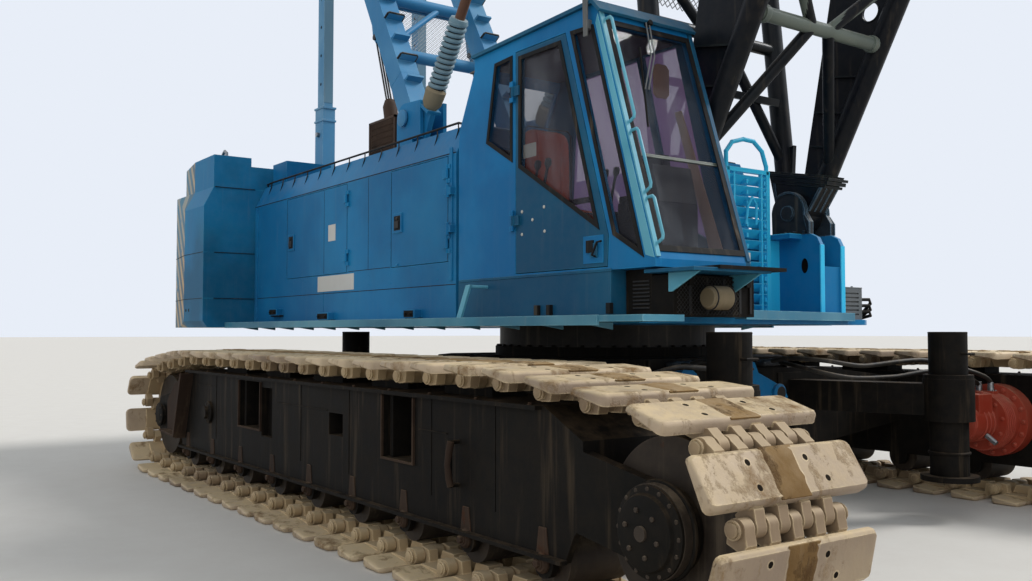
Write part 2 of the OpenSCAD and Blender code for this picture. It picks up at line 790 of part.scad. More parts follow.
module counterweight_top() {
  color(blue) from_swing() difference() {
    slab(cw_seam_3, cw_top_z, 110, 110);
    box([cw_rear_x - 10, -1770, cw_top_z - 100], [0, 1770, cw_top_z + 10]);
  }
}

// Gantry
leg_vec = [head_x - leg_foot_x, head_z - leg_foot_z];
leg_len = norm(leg_vec);
leg_a = atan2(leg_vec[1], leg_vec[0]);
module in_leg() {
  translate([leg_foot_x, 0, leg_foot_z]) rotate([0, -leg_a, 0]) children();
}

gantry_axle_r = 60;
// Cross tubes between the legs: place along the leg, and behind it
leg_tubes = [[1070, 110], [1826, 0], [3000, 0]];
leg_rungs = 10;
gantry_sheave_r = 290;
module gantry_legs() {
  color(blue) from_swing() in_leg() {
    both_sides() difference() {
      union() {
        box([200, leg_y - leg_w / 2, -130], [leg_len - 150, leg_y + leg_w / 2, 130]);
        plate_y(leg_y - leg_w / 2, leg_y + leg_w / 2) union() {
          circle(r = 130);
          translate([0, -130]) square([220, 260]);
          translate([leg_len, 0]) circle(r = 190);
          translate([leg_len - 170, -130]) square([100, 260]);
        }
      }
      translate([0, leg_y + 200, 0]) rotate([90, 0, 0]) cylinder(h = 400, r = 50 + running);
    }
    for (c = leg_tubes) let (u = c[0], w = c[1])
      translate([u, leg_y, w]) rotate([90, 0, 0]) cylinder(h = 2 * leg_y, r = 70);
    both_sides() for (i = [0 : leg_rungs - 1])
      box([430 + i * 300, leg_y - leg_w / 2 + 20, -215], [455 + i * 300, leg_y + leg_w / 2 - 20, -129]);
    translate([leg_len, leg_y, 0]) rotate([90, 0, 0]) cylinder(h = 2 * leg_y, r = gantry_axle_r);
  }
  color(blue) from_swing() both_sides() plate_y(strut_y - 30, strut_y + 30) difference() {
    union() {
      polygon([[head_x - 60, head_z + 140], [strut_x - 60, strut_pin_z + 70], [strut_x - 60, strut_pin_z - 60],
        [strut_x + 60, strut_pin_z - 60], [head_x - 60, head_z - 150]]);
      translate([strut_x, strut_pin_z]) circle(r = 90);
    }
    translate([strut_x, strut_pin_z]) circle(r = 35 + running);
  }
}

module gantry_sheaves() {
  color(steel) from_swing() for (y = [-400 : 160 : 400])
    rotate_sheave(head_x, head_z, y, gantry_sheave_r, gantry_axle_r + running);
}

// Sheave with a rope groove round the axis along Y
module rotate_sheave(x, z, y, r, bore, w = 90, groove = 40) {
  translate([x, y, z]) rotate([90, 0, 0]) rotate_extrude($fn = 40)
    polygon([[bore, -w / 2], [r, -w / 2], [r - groove, -w / 6], [r - groove, w / 6], [r, w / 2], [bore, w / 2]]);
}

strut_pin_z = head_z - 200;
strut_split_low = strut_split_z - 500;
// Half depth and half width of a strut, below and above its split
strut_low = [110, 82];
strut_up = [85, 62];
module gantry_struts() {
  color(blue) from_swing() both_sides() {
    difference() {
      union() {
        box([strut_x - strut_low[0], strut_y - strut_low[1], strut_foot_z + 100],
          [strut_x + strut_low[0], strut_y + strut_low[1], strut_split_z]);
        plate_y(strut_y - strut_low[1], strut_y + strut_low[1]) union() {
          translate([strut_x, strut_foot_z]) circle(r = strut_low[0]);
          translate([strut_x - strut_low[0], strut_foot_z]) square([2 * strut_low[0], 120]);
        }
        box([strut_x - strut_up[0], strut_y - strut_up[1], strut_split_z - 1],
          [strut_x + strut_up[0], strut_y + strut_up[1], strut_pin_z - 40]);
        plate_y(strut_y - strut_up[1], strut_y + strut_up[1]) translate([strut_x, strut_pin_z]) {
          circle(r = strut_up[0]);
          translate([-strut_up[0], -60]) square([2 * strut_up[0], 60]);
        }
      }
      rod_y(strut_x, strut_foot_z, 45 + running, 0, 1000);
      box([strut_x - 200, strut_y - 35, strut_pin_z - 160], [strut_x + 200, strut_y + 35, strut_pin_z + 200]);
    }
    rod_y(strut_x, strut_pin_z, 35, strut_y - strut_up[1] + 4, strut_y + strut_up[1] - 4);
  }
}

// Backstops
stop_foot = [-1900, 3710];
stop_a = 54.5;
stop_cap_r = 58;
// Clearance between a backstop's end and the chord with the boom at its upper limit
stop_clear = 15;
luff_top = luff + 2;
stop_n = [-sin(luff_top), cos(luff_top)];
stop_len = (chord_z + chord_r + stop_clear - (stop_foot - [foot_x, foot_z]) * stop_n
  + stop_cap_r * (sin(stop_a) * -stop_n[0] - cos(stop_a) * -stop_n[1]))
  / ([cos(stop_a), sin(stop_a)] * stop_n);
function at_stop(along, up) = [stop_foot[0] + along * cos(stop_a) - up * sin(stop_a),
  stop_foot[1] + along * sin(stop_a) + up * cos(stop_a)];
stop_u = [for (i = [0 : 9]) 260 + i * 62];
module backstops() {
  color(light_blue) from_swing() both_sides()
    translate([stop_foot[0], foot_y, stop_foot[1]]) rotate([0, 90 - stop_a, 0]) {
      cylinder(h = 260, r = 70);
      for (u = stop_u) translate([0, 0, u]) cylinder(h = 30, r = 70);
      cylinder(h = 920, r = 56);
      cylinder(h = stop_len - 25, r = 42);
      translate([0, 0, stop_len - 30]) cylinder(h = 30, r = stop_cap_r);
    }
}

// Winch drums
module drum(x, core, flange) {
  w = drum_half;
  rod_y(x, drum_z, core, -w + 5, w - 5);
  for (y = [-w + 5, w - 45]) rod_y(x, drum_z, flange, y, y + 40);
  rod_y(x, drum_z, shaft_r, -w - 60, w + 60);
}

module main_drum() {
  color(steel) from_swing() drum(drum_x[0], 260, 380);
}

module auxiliary_drum() {
  color(steel) from_swing() drum(drum_x[1], 260, 380);
}

module boom_hoist_drum() {
  color(steel) from_swing() drum(drum_x[2], 240, 350);
}

walk_y = 2050;
walk_front_x = 2660;
module catwalks() {
  color(light_blue) from_swing() {
    box([deck_rear_x, -walk_y, deck_z + 7], [walk_front_x, -house_y, deck_top + 6]);
    box([deck_rear_x, house_y, deck_z + 7], [walk_end_x, walk_y, deck_top + 6]);
    front_plate();
  }
}

// Steps behind the boom foot, with louvred risers and an arched rail
step_n = 13;
step_y = [-110, 400];
// Points of the rail: y, z
rail = [[-90, 2640], [-90, 2820], [-20, 2900], [110, 2935], [230, 2930], [330, 2860], [380, 2740], [380, 2640]];
module steps() {
  color(light_blue) from_swing() {
    for (y = [step_y[0], step_y[1] - 40]) box([1500, y, deck_top], [1540, y + 40, 2700]);
    for (i = [0 : step_n - 1])
      let (z = deck_top + 60 + i * 85)
      plate_y(step_y[0] + 39, step_y[1] - 39)
        polygon([[1450, z], [1456, z - 4], [1536, z + 56], [1530, z + 60]]);
    for (i = [0 : len(rail) - 2])
      bar([1520, rail[i][0], rail[i][1]], [1520, rail[i + 1][0], rail[i + 1][1]], 17 + 0.4 * (i % 2), 20);
    for (p = [for (i = [1 : len(rail) - 2]) rail[i]]) translate([1520, p[0], p[1]]) sphere(r = 18.5);
  }
}

// Grey valve box beside the left bracket
module valve_box() {
  color("#7d8286") from_swing() difference() {
    box([1450, cheek_out + cheek_t, deck_top], [1840, 1170, 1770]);
    for (i = [0 : 5]) {
      box([1490, 1150, 1550 + i * 34], [1800, 1171, 1564 + i * 34]);
      box([1825, cheek_out + cheek_t + 40, 1550 + i * 34], [1841, 1130, 1564 + i * 34]);
    }
  }
}

// Front plate of the deck with its raised edge
module front_plate() {
  translate([0, 0, deck_top - 8]) linear_extrude(8)
    polygon([[deck_front_x, -860], [2365, -860], [2080, 690], [2052, 690], [deck_front_x, -700]]);
  translate([0, 0, deck_top - 12]) linear_extrude(62) hull_beam([2371, -860], [2081, 720], 7);
}

// Cab
cab_out = [[cab_rear_x, cab_floor_z], [cab_rear_x, 2900], [245, 3017], [445, 3420], [445, 3515],
  [1850, 3560], [1905, 3500], [2425, 1860], [2425, cab_floor_z]];
cab_in = [[cab_rear_x + cab_t, cab_floor_z + 50], [cab_rear_x + cab_t, 2890], [289, 3000], [490, 3405],
  [492, 3470], [1820, 3512], [1862, 3480], [2376, 1862], [2376, cab_floor_z + 50]];
door_outline = [[990, 1835], [1985, 1835], [1995, 2030], [1560, 3440], [990, 3440]];
door_hinge_x = 990;
door_window = [[1035, 2600], [1895, 2095], [1507, 3395], [1035, 3395]];
rear_window = [[620, 2840], [940, 2660], [940, 3420], [730, 3410]];
front_window = [[2050, 2035], [2310, 1890], [1850, 3420], [1630, 3430]];
function lerp2(p, q, s, t) =
  let (d = (q - p) / norm(q - p)) [p[0] + s * d[0] + t * d[1], p[1] + s * d[1] - t * d[0]];
// Strip along the line from p to q, between s0 and s1 along it and t0 and t1 inside it
function strip(p, q, s0, s1, t0, t1) =
  [lerp2(p, q, s0, t0), lerp2(p, q, s1, t0), lerp2(p, q, s1, t1), lerp2(p, q, s0, t1)];
screen_a = [1905, 3500];
screen_b = [2425, 1860];
back_a = [245, 3017];
back_b = [445, 3420];
inner_rear = [[620, 2300], [1700, 2300], [1400, 3420], [700, 3410]];
inner_front = [[1780, 2200], [2170, 2000], [1800, 3430], [1470, 3430]];
door_cut = [[984, 1829], [1991, 1829], [2001.5, 2031], [1564.5, 3446], [984, 3446]];

// Outer side wall with the openings of the door and the windows
module cab_outer_wall() {
  color(blue) from_swing() mirror([0, 1, 0]) {
    plate_y(house_y - cab_t, house_y) difference() {
      polygon(cab_out);
      polygon(door_cut);
      polygon(rear_window);
      polygon(front_window);
    }
    door_pins(door_hinge_x - 15, 1, [2180, 3120]);
  }
}

module cab_inner_wall() {
  color(blue) from_swing() mirror([0, 1, 0]) plate_y(cab_in_y, cab_in_y + cab_t) difference() {
    polygon(cab_out);
    polygon(inner_rear);
    polygon(inner_front);
  }
}

// Floor, rear, roof and front between the side walls
module cab_shell() {
  color(blue) from_swing() mirror([0, 1, 0]) difference() {
    plate_y(cab_in_y + cab_t, house_y - cab_t) polygon(cab_out);
    plate_y(cab_in_y + cab_t - 1, house_y - cab_t + 1) polygon(cab_in);
    plate_y(cab_in_y + 60, house_y - 60) {
      polygon(strip(screen_a, screen_b, 60, 1660, -20, 75));
      polygon(strip(back_a, back_b, 50, 400, -20, 75));
    }
  }
}

plinth_front_x = 2020;
module cab_plinth() {
  color(blue) from_swing() mirror([0, 1, 0]) difference() {
    box([cab_rear_x, cab_in_y, deck_top], [plinth_front_x, house_y, cab_floor_z]);
    box([cab_rear_x + 40, cab_in_y + 40, deck_top - 1], [plinth_front_x - 40, house_y - 40, cab_floor_z - 40]);
  }
}

module cab_door() {
  color(blue) from_swing() mirror([0, 1, 0]) {
    plate_y(house_y - cab_t, house_y) difference() {
      polygon(door_outline);
      polygon(door_window);
    }
    door_knuckles(door_hinge_x - 15, 1, [2180, 3120]);
    box([1830, house_y - 1, 1900], [1900, house_y + 14, 1990]);
  }
}

module cab_door_glass() {
  color([0.35, 0.33, 0.4, 0.5]) from_swing() mirror([0, 1, 0])
    plate_y(house_y - 25, house_y - 25 + glass_t) polygon(door_window);
}

module cab_glass() {
  color([0.35, 0.33, 0.4, 0.5]) from_swing() mirror([0, 1, 0]) {
    plate_y(house_y - 25, house_y - 25 + glass_t) {
      polygon(rear_window);
      polygon(front_window);
    }
    plate_y(cab_in_y + 15, cab_in_y + 15 + glass_t) {
      polygon(inner_rear);
      polygon(inner_front);
    }
    plate_y(cab_in_y + 60.2, house_y - 60.2) {
      polygon(strip(screen_a, screen_b, 60.2, 1659.8, 15, 15 + glass_t));
      polygon(strip(back_a, back_b, 50.2, 399.8, 15, 15 + glass_t));
    }
  }
}

seat_y = -1320;
seat_w = 480;
seat_x = 760;
seat_z = 2300;
module cab_seat() {
  color("#b5563a") from_swing()
    box([seat_x + 120, seat_y - seat_w / 2, seat_z - 120], [seat_x + 540, seat_y + seat_w / 2, seat_z]);
}

module cab_backrest() {
  color("#b5563a") from_swing()
    box([seat_x, seat_y - seat_w / 2, seat_z - 120], [seat_x + 119, seat_y + seat_w / 2, seat_z + 680]);
}

module cab_controls() {
  color(dark) from_swing() {
    box([1350, -1060, cab_floor_z + 50], [1900, -925, 2350]);
    box([1950, -1450, cab_floor_z + 50], [2180, -1100, 2250]);
    // Seat base
    box([seat_x + 100, seat_y - 180, cab_floor_z + 50], [seat_x + 480, seat_y + 180, seat_z - 150]);
    box([seat_x + 10, seat_y - 230, seat_z - 151], [seat_x + 520, seat_y + 230, seat_z - 121]);
  }
}

heater_x = plinth_front_x + 10;
heater_y = house_y - 120;
module cab_heater() {
  color(dark) from_swing() {
    box([heater_x, -heater_y, deck_top], [heater_x + 240, -cab_in_y, cab_floor_z]);
    box([heater_x + 230, -heater_y, deck_top], [heater_x + 420, -cab_in_y, cab_floor_z - 45]);
    box([2425, -1500, 1790], [2740, -900, 1812]);
    for (y = [-1480, -960]) box([2440, y, 1700], [2470, y + 40, 1791]);
  }
}

// Boom, drawn lying along X and raised by the luff angle
module in_boom() {
  translate([foot_x, 0, foot_z]) rotate([0, -luff, 0]) children();
}

function taper_z(u) = 110 + (chord_z - 110) * u / taper_len;
// Half depth of the head section, from its start to its end
function head_taper_z(u) = chord_z + (head_z_half - chord_z) * (u - head_start) / (boom_len - 260 - head_start);

module chords(u0, z0, u1, z1, r) {
  for (y = [-foot_y, foot_y], s = [-1, 1]) bar([u0, y, s * z0], [u1, y, s * z1], r);
}

// Lacing tube that ends inside the tubes it joins
module lace(a, b, r) {
  t = (b - a) * 48 / norm(b - a);
  bar(a + t, b - t, r, 20);
}

// Zigzag lacing on the four faces, between two lengths along the boom
module lacing(u0, u1, z0, z1, bays, r) {
  step = (u1 - u0) / bays;
  for (i = [0 : bays - 1]) {
    a = u0 + i * step;
    b = a + step;
    za = z0 + (z1 - z0) * i / bays;
    zb = z0 + (z1 - z0) * (i + 1) / bays;
    k = i % 2 == 0 ? 1 : -1;
    for (s = [-1, 1]) {
      lace([a + 30, -k * foot_y, s * za], [b - 30, k * foot_y, s * zb], r);
      lace([a + 30, s * foot_y, -k * za], [b - 30, s * foot_y, k * zb], r - 4);
    }
  }
}

module boom_frame(u) {
  for (s = [-1, 1]) {
    lace([u, -foot_y, s * chord_z], [u, foot_y, s * chord_z], 42);
    lace([u, s * foot_y, -chord_z], [u, s * foot_y, chord_z], 40);
  }
}

module boom_foot() {
  difference() {
    plate_y(-eye_half, eye_half) union() {
      circle(r = 150);
      polygon([[0, -150], [330, -taper_z(330) - 90], [330, taper_z(330) + 90], [0, 150]]);
    }
    rotate([90, 0, 0]) cylinder(h = 500, r = foot_pin_r + running, center = true);
  }
}

cross_u = 1336;
module boom_base() {
  color(dark) from_swing() in_boom() {
    for (y = [-foot_y, foot_y]) translate([0, y, 0]) {
      boom_foot();
      // Collar between the foot casting and the chords
      box([258, -eye_half - 14, -312], [288, eye_half + 14, 240]);
      plate_y(-20, 20) difference() {
        polygon([[330, 120], [560, 150], [520, 240], [430, 265], [330, 225]]);
        translate([462, 205]) circle(r = 26);
      }
    }
    chords(250, taper_z(250), taper_len + 10, taper_z(taper_len + 10), chord_r - 3);
    chords(taper_len - 30, chord_z, base_len - 15, chord_z, chord_r);
    both_sides() plate_y(foot_y - 12, foot_y + 12) difference() {
      polygon([[320, -taper_z(320)], [320, 0], [1850, 0], [1850, -taper_z(1850)]]);
      translate([1600, -390]) circle(r = 72);
    }
    for (s = [-1, 1]) {
      lace([cross_u, -foot_y, s * taper_z(cross_u)], [cross_u, foot_y, s * taper_z(cross_u)], lace_r + 5);
      for (k = [-1, 1]) {
        bar([cross_u, k * 95, s * taper_z(cross_u)], [420, k * (foot_y - 30), s * taper_z(420)], lace_r - 2, 20);
        bar([cross_u, k * 95, s * taper_z(cross_u)], [1900, k * (foot_y - 40), s * taper_z(1900)], lace_r - 4, 20);
      }
    }
    lacing(2000, base_len - 150, chord_z, chord_z, 5, 35);
    boom_frame(base_len - 70);
  }
}

head_start = 12100;
head_z_half = 330;
module boom_top() {
  color(dark) from_swing() in_boom() {
    chords(base_len, chord_z, head_start + 30, chord_z, chord_r);
    chords(head_start - 10, head_taper_z(head_start - 10), boom_len - 260, head_z_half, chord_r - 3);
    lacing(base_len + 150, head_start, chord_z, chord_z, 4, 35);
    lacing(head_start, boom_len - 900, chord_z, head_taper_z(boom_len - 900), 2, 35);
    boom_frame(base_len + 70);
    // Head plates
    for (y = [-foot_y, -260, 220, foot_y - 40])
      plate_y(y, y + 40) difference() {
        polygon([[boom_len - 900, -450], [boom_len - 900, 380], [boom_len - 60, 520], [boom_len + 80, 420],
          [boom_len + 160, -sheave_off - 120], [boom_len - 120, -sheave_off - 160]]);
        translate([boom_len, -sheave_off]) circle(r = shaft_r + running);
        if (abs(y) > 400) translate([boom_len - 10, 330]) circle(r = 30);
      }
    box([boom_len - 700, -foot_y, -60], [boom_len - 640, foot_y, 200]);
    box([boom_len - 180, -foot_y, 360], [boom_len - 80, foot_y, 460]);
    // Ears and pins of the pendants
    both_sides() {
      for (y = [pendant_y - 55, pendant_y + 35])
        plate_y(y, y + 20) {
          polygon([[boom_len - 180, 400], [boom_len - 80, 400], [pendant_u + 55, pendant_w], [pendant_u - 55, pendant_w]]);
          translate([pendant_u, pendant_w]) circle(r = 60);
        }
      translate([pendant_u, pendant_y + 60, pendant_w]) rotate([90, 0, 0]) cylinder(h = 120, r = 28);
    }
  }
}

module boom_sheaves() {
  color(steel) from_swing() {
    for (y = [-560, -400, -100, 0, 100, 400, 560])
      rotate_sheave(head_shaft_x, head_shaft_z, y, sheave_r, shaft_r - 10);
    rod_y(head_shaft_x, head_shaft_z, shaft_r, -foot_y - 30, foot_y + 30);
  }
}

// Pendants from the boom head towards the gantry head
pendant_u = boom_len - 130;
pendant_w = 600;
pendant_y = 520;
pendant_r = 24;
falls_len = 2700;
pendant_x = foot_x + pendant_u * ux - pendant_w * uz;
pendant_z = foot_z + pendant_u * uz + pendant_w * ux;
stay_vec = [head_x - pendant_x, head_z - pendant_z];
stay_a = atan2(stay_vec[1], stay_vec[0]);
stay_len = norm(stay_vec) - falls_len;
bridle_w = 60;
bridle_y = [-320, -160, 0, 160, 320];
rope_r = 14;
module pendants() {
  color(steel) from_swing() translate([pendant_x, 0, pendant_z]) rotate([0, -stay_a, 0]) {
    both_sides() {
      bar([80, pendant_y, 0], [stay_len - 80, pendant_y, 0], pendant_r);
      difference() {
        plate_y(pendant_y - 30, pendant_y + 30) {
          circle(r = 58);
          translate([0, -50]) square([240, 100]);
        }
        rotate([90, 0, 0]) cylinder(h = 3000, r = 28 + running, center = true);
      }
      plate_y(pendant_y - 30, pendant_y + 30) translate([stay_len - 260, -50]) square([260, 100]);
    }
    box([stay_len - 130, -pendant_y - 40, -bridle_w], [stay_len - 50, pendant_y + 40, bridle_w]);
    // Bridle sheaves and their cheeks
    for (y = [-410, 370]) plate_y(y, y + 40) {
      circle_at(stay_len + 180, 0, 90);
      translate([stay_len - 100, -70]) square([280, 140]);
    }
    rod_y(stay_len + 180, 0, 45, -400, 400);
    for (y = bridle_y) rotate_sheave(stay_len + 180, 0, y, gantry_sheave_r, 40);
  }
}

module circle_at(x, z, r) {
  translate([x, z]) circle(r = r);
}

// Distance from the boom's pendant pins to the gantry head at the boom angle a
function stay_at(a) = norm([head_x - foot_x - pendant_u * cos(a) + pendant_w * sin(a),
  head_z - foot_z - pendant_u * sin(a) - pendant_w * cos(a)]);
falls_slack = stay_at(luff) - stay_at(luff_top);
// Rope falls from the gantry head. They end where the bridle comes with the boom at its upper limit
module hoist_falls() {
  reach = falls_len - 180 - gantry_sheave_r - falls_slack - 15;
  off = gantry_sheave_r - 40 + rope_r + link_clear;
  color("#4b4b4b") from_swing() translate([head_x, 0, head_z]) rotate([0, -stay_a - 180, 0])
    for (y = bridle_y, s = [-1, 1]) bar([0, y, s * off], [reach, y, s * off], rope_r, 16);
}

// Hook block hung from the head sheaves
block_z = head_shaft_z - fall_len;
rope_x = sheave_r - 40 + rope_r + link_clear;
// The falls start where they leave the round of the head sheaves, and the wraps are trim
fall_top = sqrt(sheave_r * sheave_r - (rope_x - rope_r) * (rope_x - rope_r)) + 6;
hook_y = [-100, 0, 100];
module hook_falls() {
  color("#4b4b4b") from_swing() for (y = hook_y, s = [-1, 1])
    translate([head_shaft_x + s * rope_x, y, block_z]) cylinder(h = fall_len - fall_top, r = rope_r, $fn = 16);
}

module hook_sheaves() {
  color(steel) from_swing() for (y = hook_y)
    rotate_sheave(head_shaft_x, block_z, y, sheave_r, 50 + running);
}

module hook_block() {
  color("#b08a2a") from_swing() translate([head_shaft_x, 0, block_z]) {
    difference() {
      union() {
        for (y = [-185, 160]) plate_y(y, y + 25) hull() {
          translate([0, 60]) circle(r = 240);
          translate([0, -480]) circle(r = 120);
        }
        box([-110, -160, -600], [110, 160, -450]);
      }
      cylinder_ring(-700, -400, 50 + running);
    }
    rod_y(0, 0, 50, -190, 190);
  }
}

module hook() {
  color("#b08a2a") from_swing() translate([head_shaft_x, 0, block_z]) {
    cylinder_ring(-800, -430, 50);
    cylinder_ring(-447, -415, 78);
    cylinder_ring(-800, -610, 62);
    translate([0, 0, -960]) rotate([90, -60, 0]) rotate_extrude(angle = 250) translate([150, 0]) circle(r = 55);
    translate([0, 0, -850]) cylinder(h = 80, r = 60);
  }
}

carbody();
swing_bearing();
crawler_frames();
track_right();
track_left();
sprockets();
idlers();
track_rollers();
travel_motors();
carbody_jacks();
hose_unions();
hose_left_a();
hose_left_b();
hose_right_a();
hose_right_b();
turntable_frame();
house_right();
house_left();
door_right_rear();
door_right_front();
door_left_rear();
door_left_front();
engine();
engine_hood();
silencer_box();
counterweight_base();
counterweight_slab();
counterweight_upper();
counterweight_top();
gantry_legs();
gantry_struts();
gantry_sheaves();
hoist_falls();
backstops();
main_drum();
auxiliary_drum();
boom_hoist_drum();
catwalks();
steps();
valve_box();
boom_foot_ears();
cab_shell();
cab_outer_wall();
cab_inner_wall();
cab_plinth();
cab_door();
cab_door_glass();
cab_glass();
cab_seat();
cab_backrest();
cab_controls();
cab_heater();
boom_base();
boom_top();
boom_sheaves();
pendants();
hook_falls();
hook_sheaves();
hook_block();
hook();
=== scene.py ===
"""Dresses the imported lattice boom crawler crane: finishes, track shoes, trim, cab lining, light and camera.

Every place in this file is in metres from the swing axis: X to the front of the crawlers,
Y to their left and Z up from the ground. Form.piece moves each mesh to the frame's own origin.
"""

import functools
import logging
import math
import random
from dataclasses import dataclass, field
from enum import Enum
from typing import Callable, Iterable, Sequence

import bmesh
import bpy
from mathutils import Matrix, Vector


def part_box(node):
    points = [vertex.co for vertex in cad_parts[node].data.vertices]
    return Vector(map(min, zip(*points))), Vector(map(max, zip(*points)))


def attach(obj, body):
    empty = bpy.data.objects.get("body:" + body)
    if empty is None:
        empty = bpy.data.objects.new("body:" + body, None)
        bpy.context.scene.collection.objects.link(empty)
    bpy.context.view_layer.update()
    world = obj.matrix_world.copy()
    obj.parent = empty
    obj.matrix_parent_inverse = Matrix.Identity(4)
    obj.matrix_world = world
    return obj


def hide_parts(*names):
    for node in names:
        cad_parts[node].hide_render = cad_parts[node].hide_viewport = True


logging.basicConfig(level=logging.INFO, format="%(message)s")
log = logging.getLogger("crane")

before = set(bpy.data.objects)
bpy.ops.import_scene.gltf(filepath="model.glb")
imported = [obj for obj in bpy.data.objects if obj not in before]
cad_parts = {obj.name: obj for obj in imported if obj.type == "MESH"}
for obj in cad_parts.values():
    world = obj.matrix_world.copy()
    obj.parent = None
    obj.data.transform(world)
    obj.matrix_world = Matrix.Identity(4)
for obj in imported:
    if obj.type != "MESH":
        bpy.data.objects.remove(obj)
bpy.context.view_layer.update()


def swing_axis_x() -> float:
    """Returns the swing axis' place along X in the frame, from the swing bearing's box."""
    low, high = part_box("swing_bearing")
    return (low.x + high.x) / 2


AXIS_X = swing_axis_x()
Point = Sequence[float]
Socket = bpy.types.NodeSocket
Group = bpy.types.NodeTree
# Directions: forward, to the side on which a mirrored drawing stands, and up
AHEAD, OUT, UP = (1, 0, 0), (0, 1, 0), (0, 0, 1)
# Colours of the warning stripes, their distance up the tail and the place where they end in front
STRIPE_LIGHT = "#bf9f74"
STRIPE_DARK = "#56646d"
STRIPE_PITCH = 0.28
STRIPES_FRONT = -4.81
# Places nearer to the centre plane than this have no stripes
STRIPES_INNER = 1.25
# Distance between the threads of seat cloth
CLOTH_THREAD = 0.006
# Depth of the grain in a finish with a bump of 1
BUMP_DEPTH = 0.02
# Reach of wear from an edge
WEAR_REACH = 0.014
# Two faces that meet at more than this angle have a sharp edge between them
SHARP_ANGLE = math.radians(33)
# Edges that bend by more than this angle are rounded
BEVEL_ANGLE = math.radians(45)


class Side(Enum):
    """A side of the crane, by the sign of Y."""

    LEFT = 1
    RIGHT = -1

    @property
    def word(self) -> str:
        """Returns the side's name as it stands in the names of nodes."""
        return self.name.lower()


class Axis(Enum):
    """The axis along which a profile is extruded."""

    X = 0
    Y = 1
    Z = 2


def linear(code: str) -> tuple[float, float, float, float]:
    """Turns a written colour into the linear colour that shader sockets take.

    Args:
        code: The colour as # and six hex digits.

    Returns:
        Red, green, blue and alpha.
    """
    parts = [int(code[i:i + 2], 16) / 255 for i in (1, 3, 5)]
    return tuple(c / 12.92 if c <= 0.04045 else ((c + 0.055) / 1.055) ** 2.4 for c in parts) + (1.0,)


class Tree:
    """Adds and links nodes in one node tree."""

    def __init__(self, tree: Group) -> None:
        """Keeps the tree that the nodes go into."""
        self.tree = tree

    def add(self, kind: str, **settings: object) -> bpy.types.Node:
        """Adds a node.

        Args:
            kind: The node's Blender type.
            settings: Properties of the node, or values of the inputs with the same name.

        Returns:
            The new node.
        """
        node = self.tree.nodes.new(kind)
        for key, value in settings.items():
            name = key.replace("_", " ")
            if name in node.inputs:
                self.feed(value, node.inputs[name])
            else:
                setattr(node, key, value)
        return node

    def feed(self, source: object, target: Socket) -> None:
        """Links a socket to the target, or sets the target to a value."""
        if isinstance(source, Socket):
            self.tree.links.new(source, target)
        else:
            target.default_value = source

    def calc(self, operation: str, first: object, second: object = 0.0, clamp: bool = False) -> Socket:
        """Adds a Math node and returns its result."""
        node = self.add("ShaderNodeMath", operation=operation, use_clamp=clamp)
        self.feed(first, node.inputs[0])
        self.feed(second, node.inputs[1])
        return node.outputs[0]

    def times(self, first: object, second: object, clamp: bool = False) -> Socket:
        """Multiplies two values."""
        return self.calc("MULTIPLY", first, second, clamp)

    def plus(self, first: object, second: object, clamp: bool = False) -> Socket:
        """Adds two values."""
        return self.calc("ADD", first, second, clamp)

    def blend(self, factor: object, first: object, second: object) -> Socket:
        """Adds a colour Mix node and returns its result."""
        node = self.add("ShaderNodeMix", data_type="RGBA", clamp_factor=True)
        self.feed(factor, node.inputs[0])
        self.feed(first, node.inputs[6])
        self.feed(second, node.inputs[7])
        return node.outputs[2]

    def noise(self, vector: object, scale: float, detail: float = 4.0, rough: float = 0.6) -> Socket:
        """Adds a Noise Texture and returns its factor."""
        node = self.add("ShaderNodeTexNoise", Vector=vector, Scale=scale, Detail=detail, Roughness=rough)
        return node.outputs[0]

    def ramp(self, value: object, low: float, high: float) -> Socket:
        """Maps a value from low and high to 0 and 1, smoothly and held between them."""
        node = self.add("ShaderNodeMapRange", interpolation_type="SMOOTHSTEP")
        self.feed(value, node.inputs[0])
        node.inputs[1].default_value = low
        node.inputs[2].default_value = high
        return node.outputs[0]

    def place(self, scale: Point = (1, 1, 1), turn: Point = (0, 0, 0)) -> Socket:
        """Adds object coordinates through a Mapping and returns them."""
        here = self.add("ShaderNodeTexCoord").outputs["Object"]
        node = self.add("ShaderNodeMapping", Vector=here)
        node.inputs["Scale"].default_value = scale
        node.inputs["Rotation"].default_value = turn
        return node.outputs[0]


def new_group(name: str, inputs: Iterable[tuple[str, str]], outputs: Iterable[tuple[str, str]]) -> tuple:
    """Makes an empty shader node group with named sockets.

    Args:
        name: The group's name.
        inputs: Pairs of a socket's name and its kind, Float or Color.
        outputs: Pairs of the same form.

    Returns:
        The group, a Tree for it, its input sockets by name and its output node.
    """
    group = bpy.data.node_groups.new(name, "ShaderNodeTree")
    for way, sockets in (("INPUT", inputs), ("OUTPUT", outputs)):
        for title, kind in sockets:
            group.interface.new_socket(name=title, in_out=way, socket_type="NodeSocket" + kind)
    tree = Tree(group)
    start = tree.add("NodeGroupInput")
    end = tree.add("NodeGroupOutput")
    return group, tree, {title: start.outputs[title] for title, _ in inputs}, end


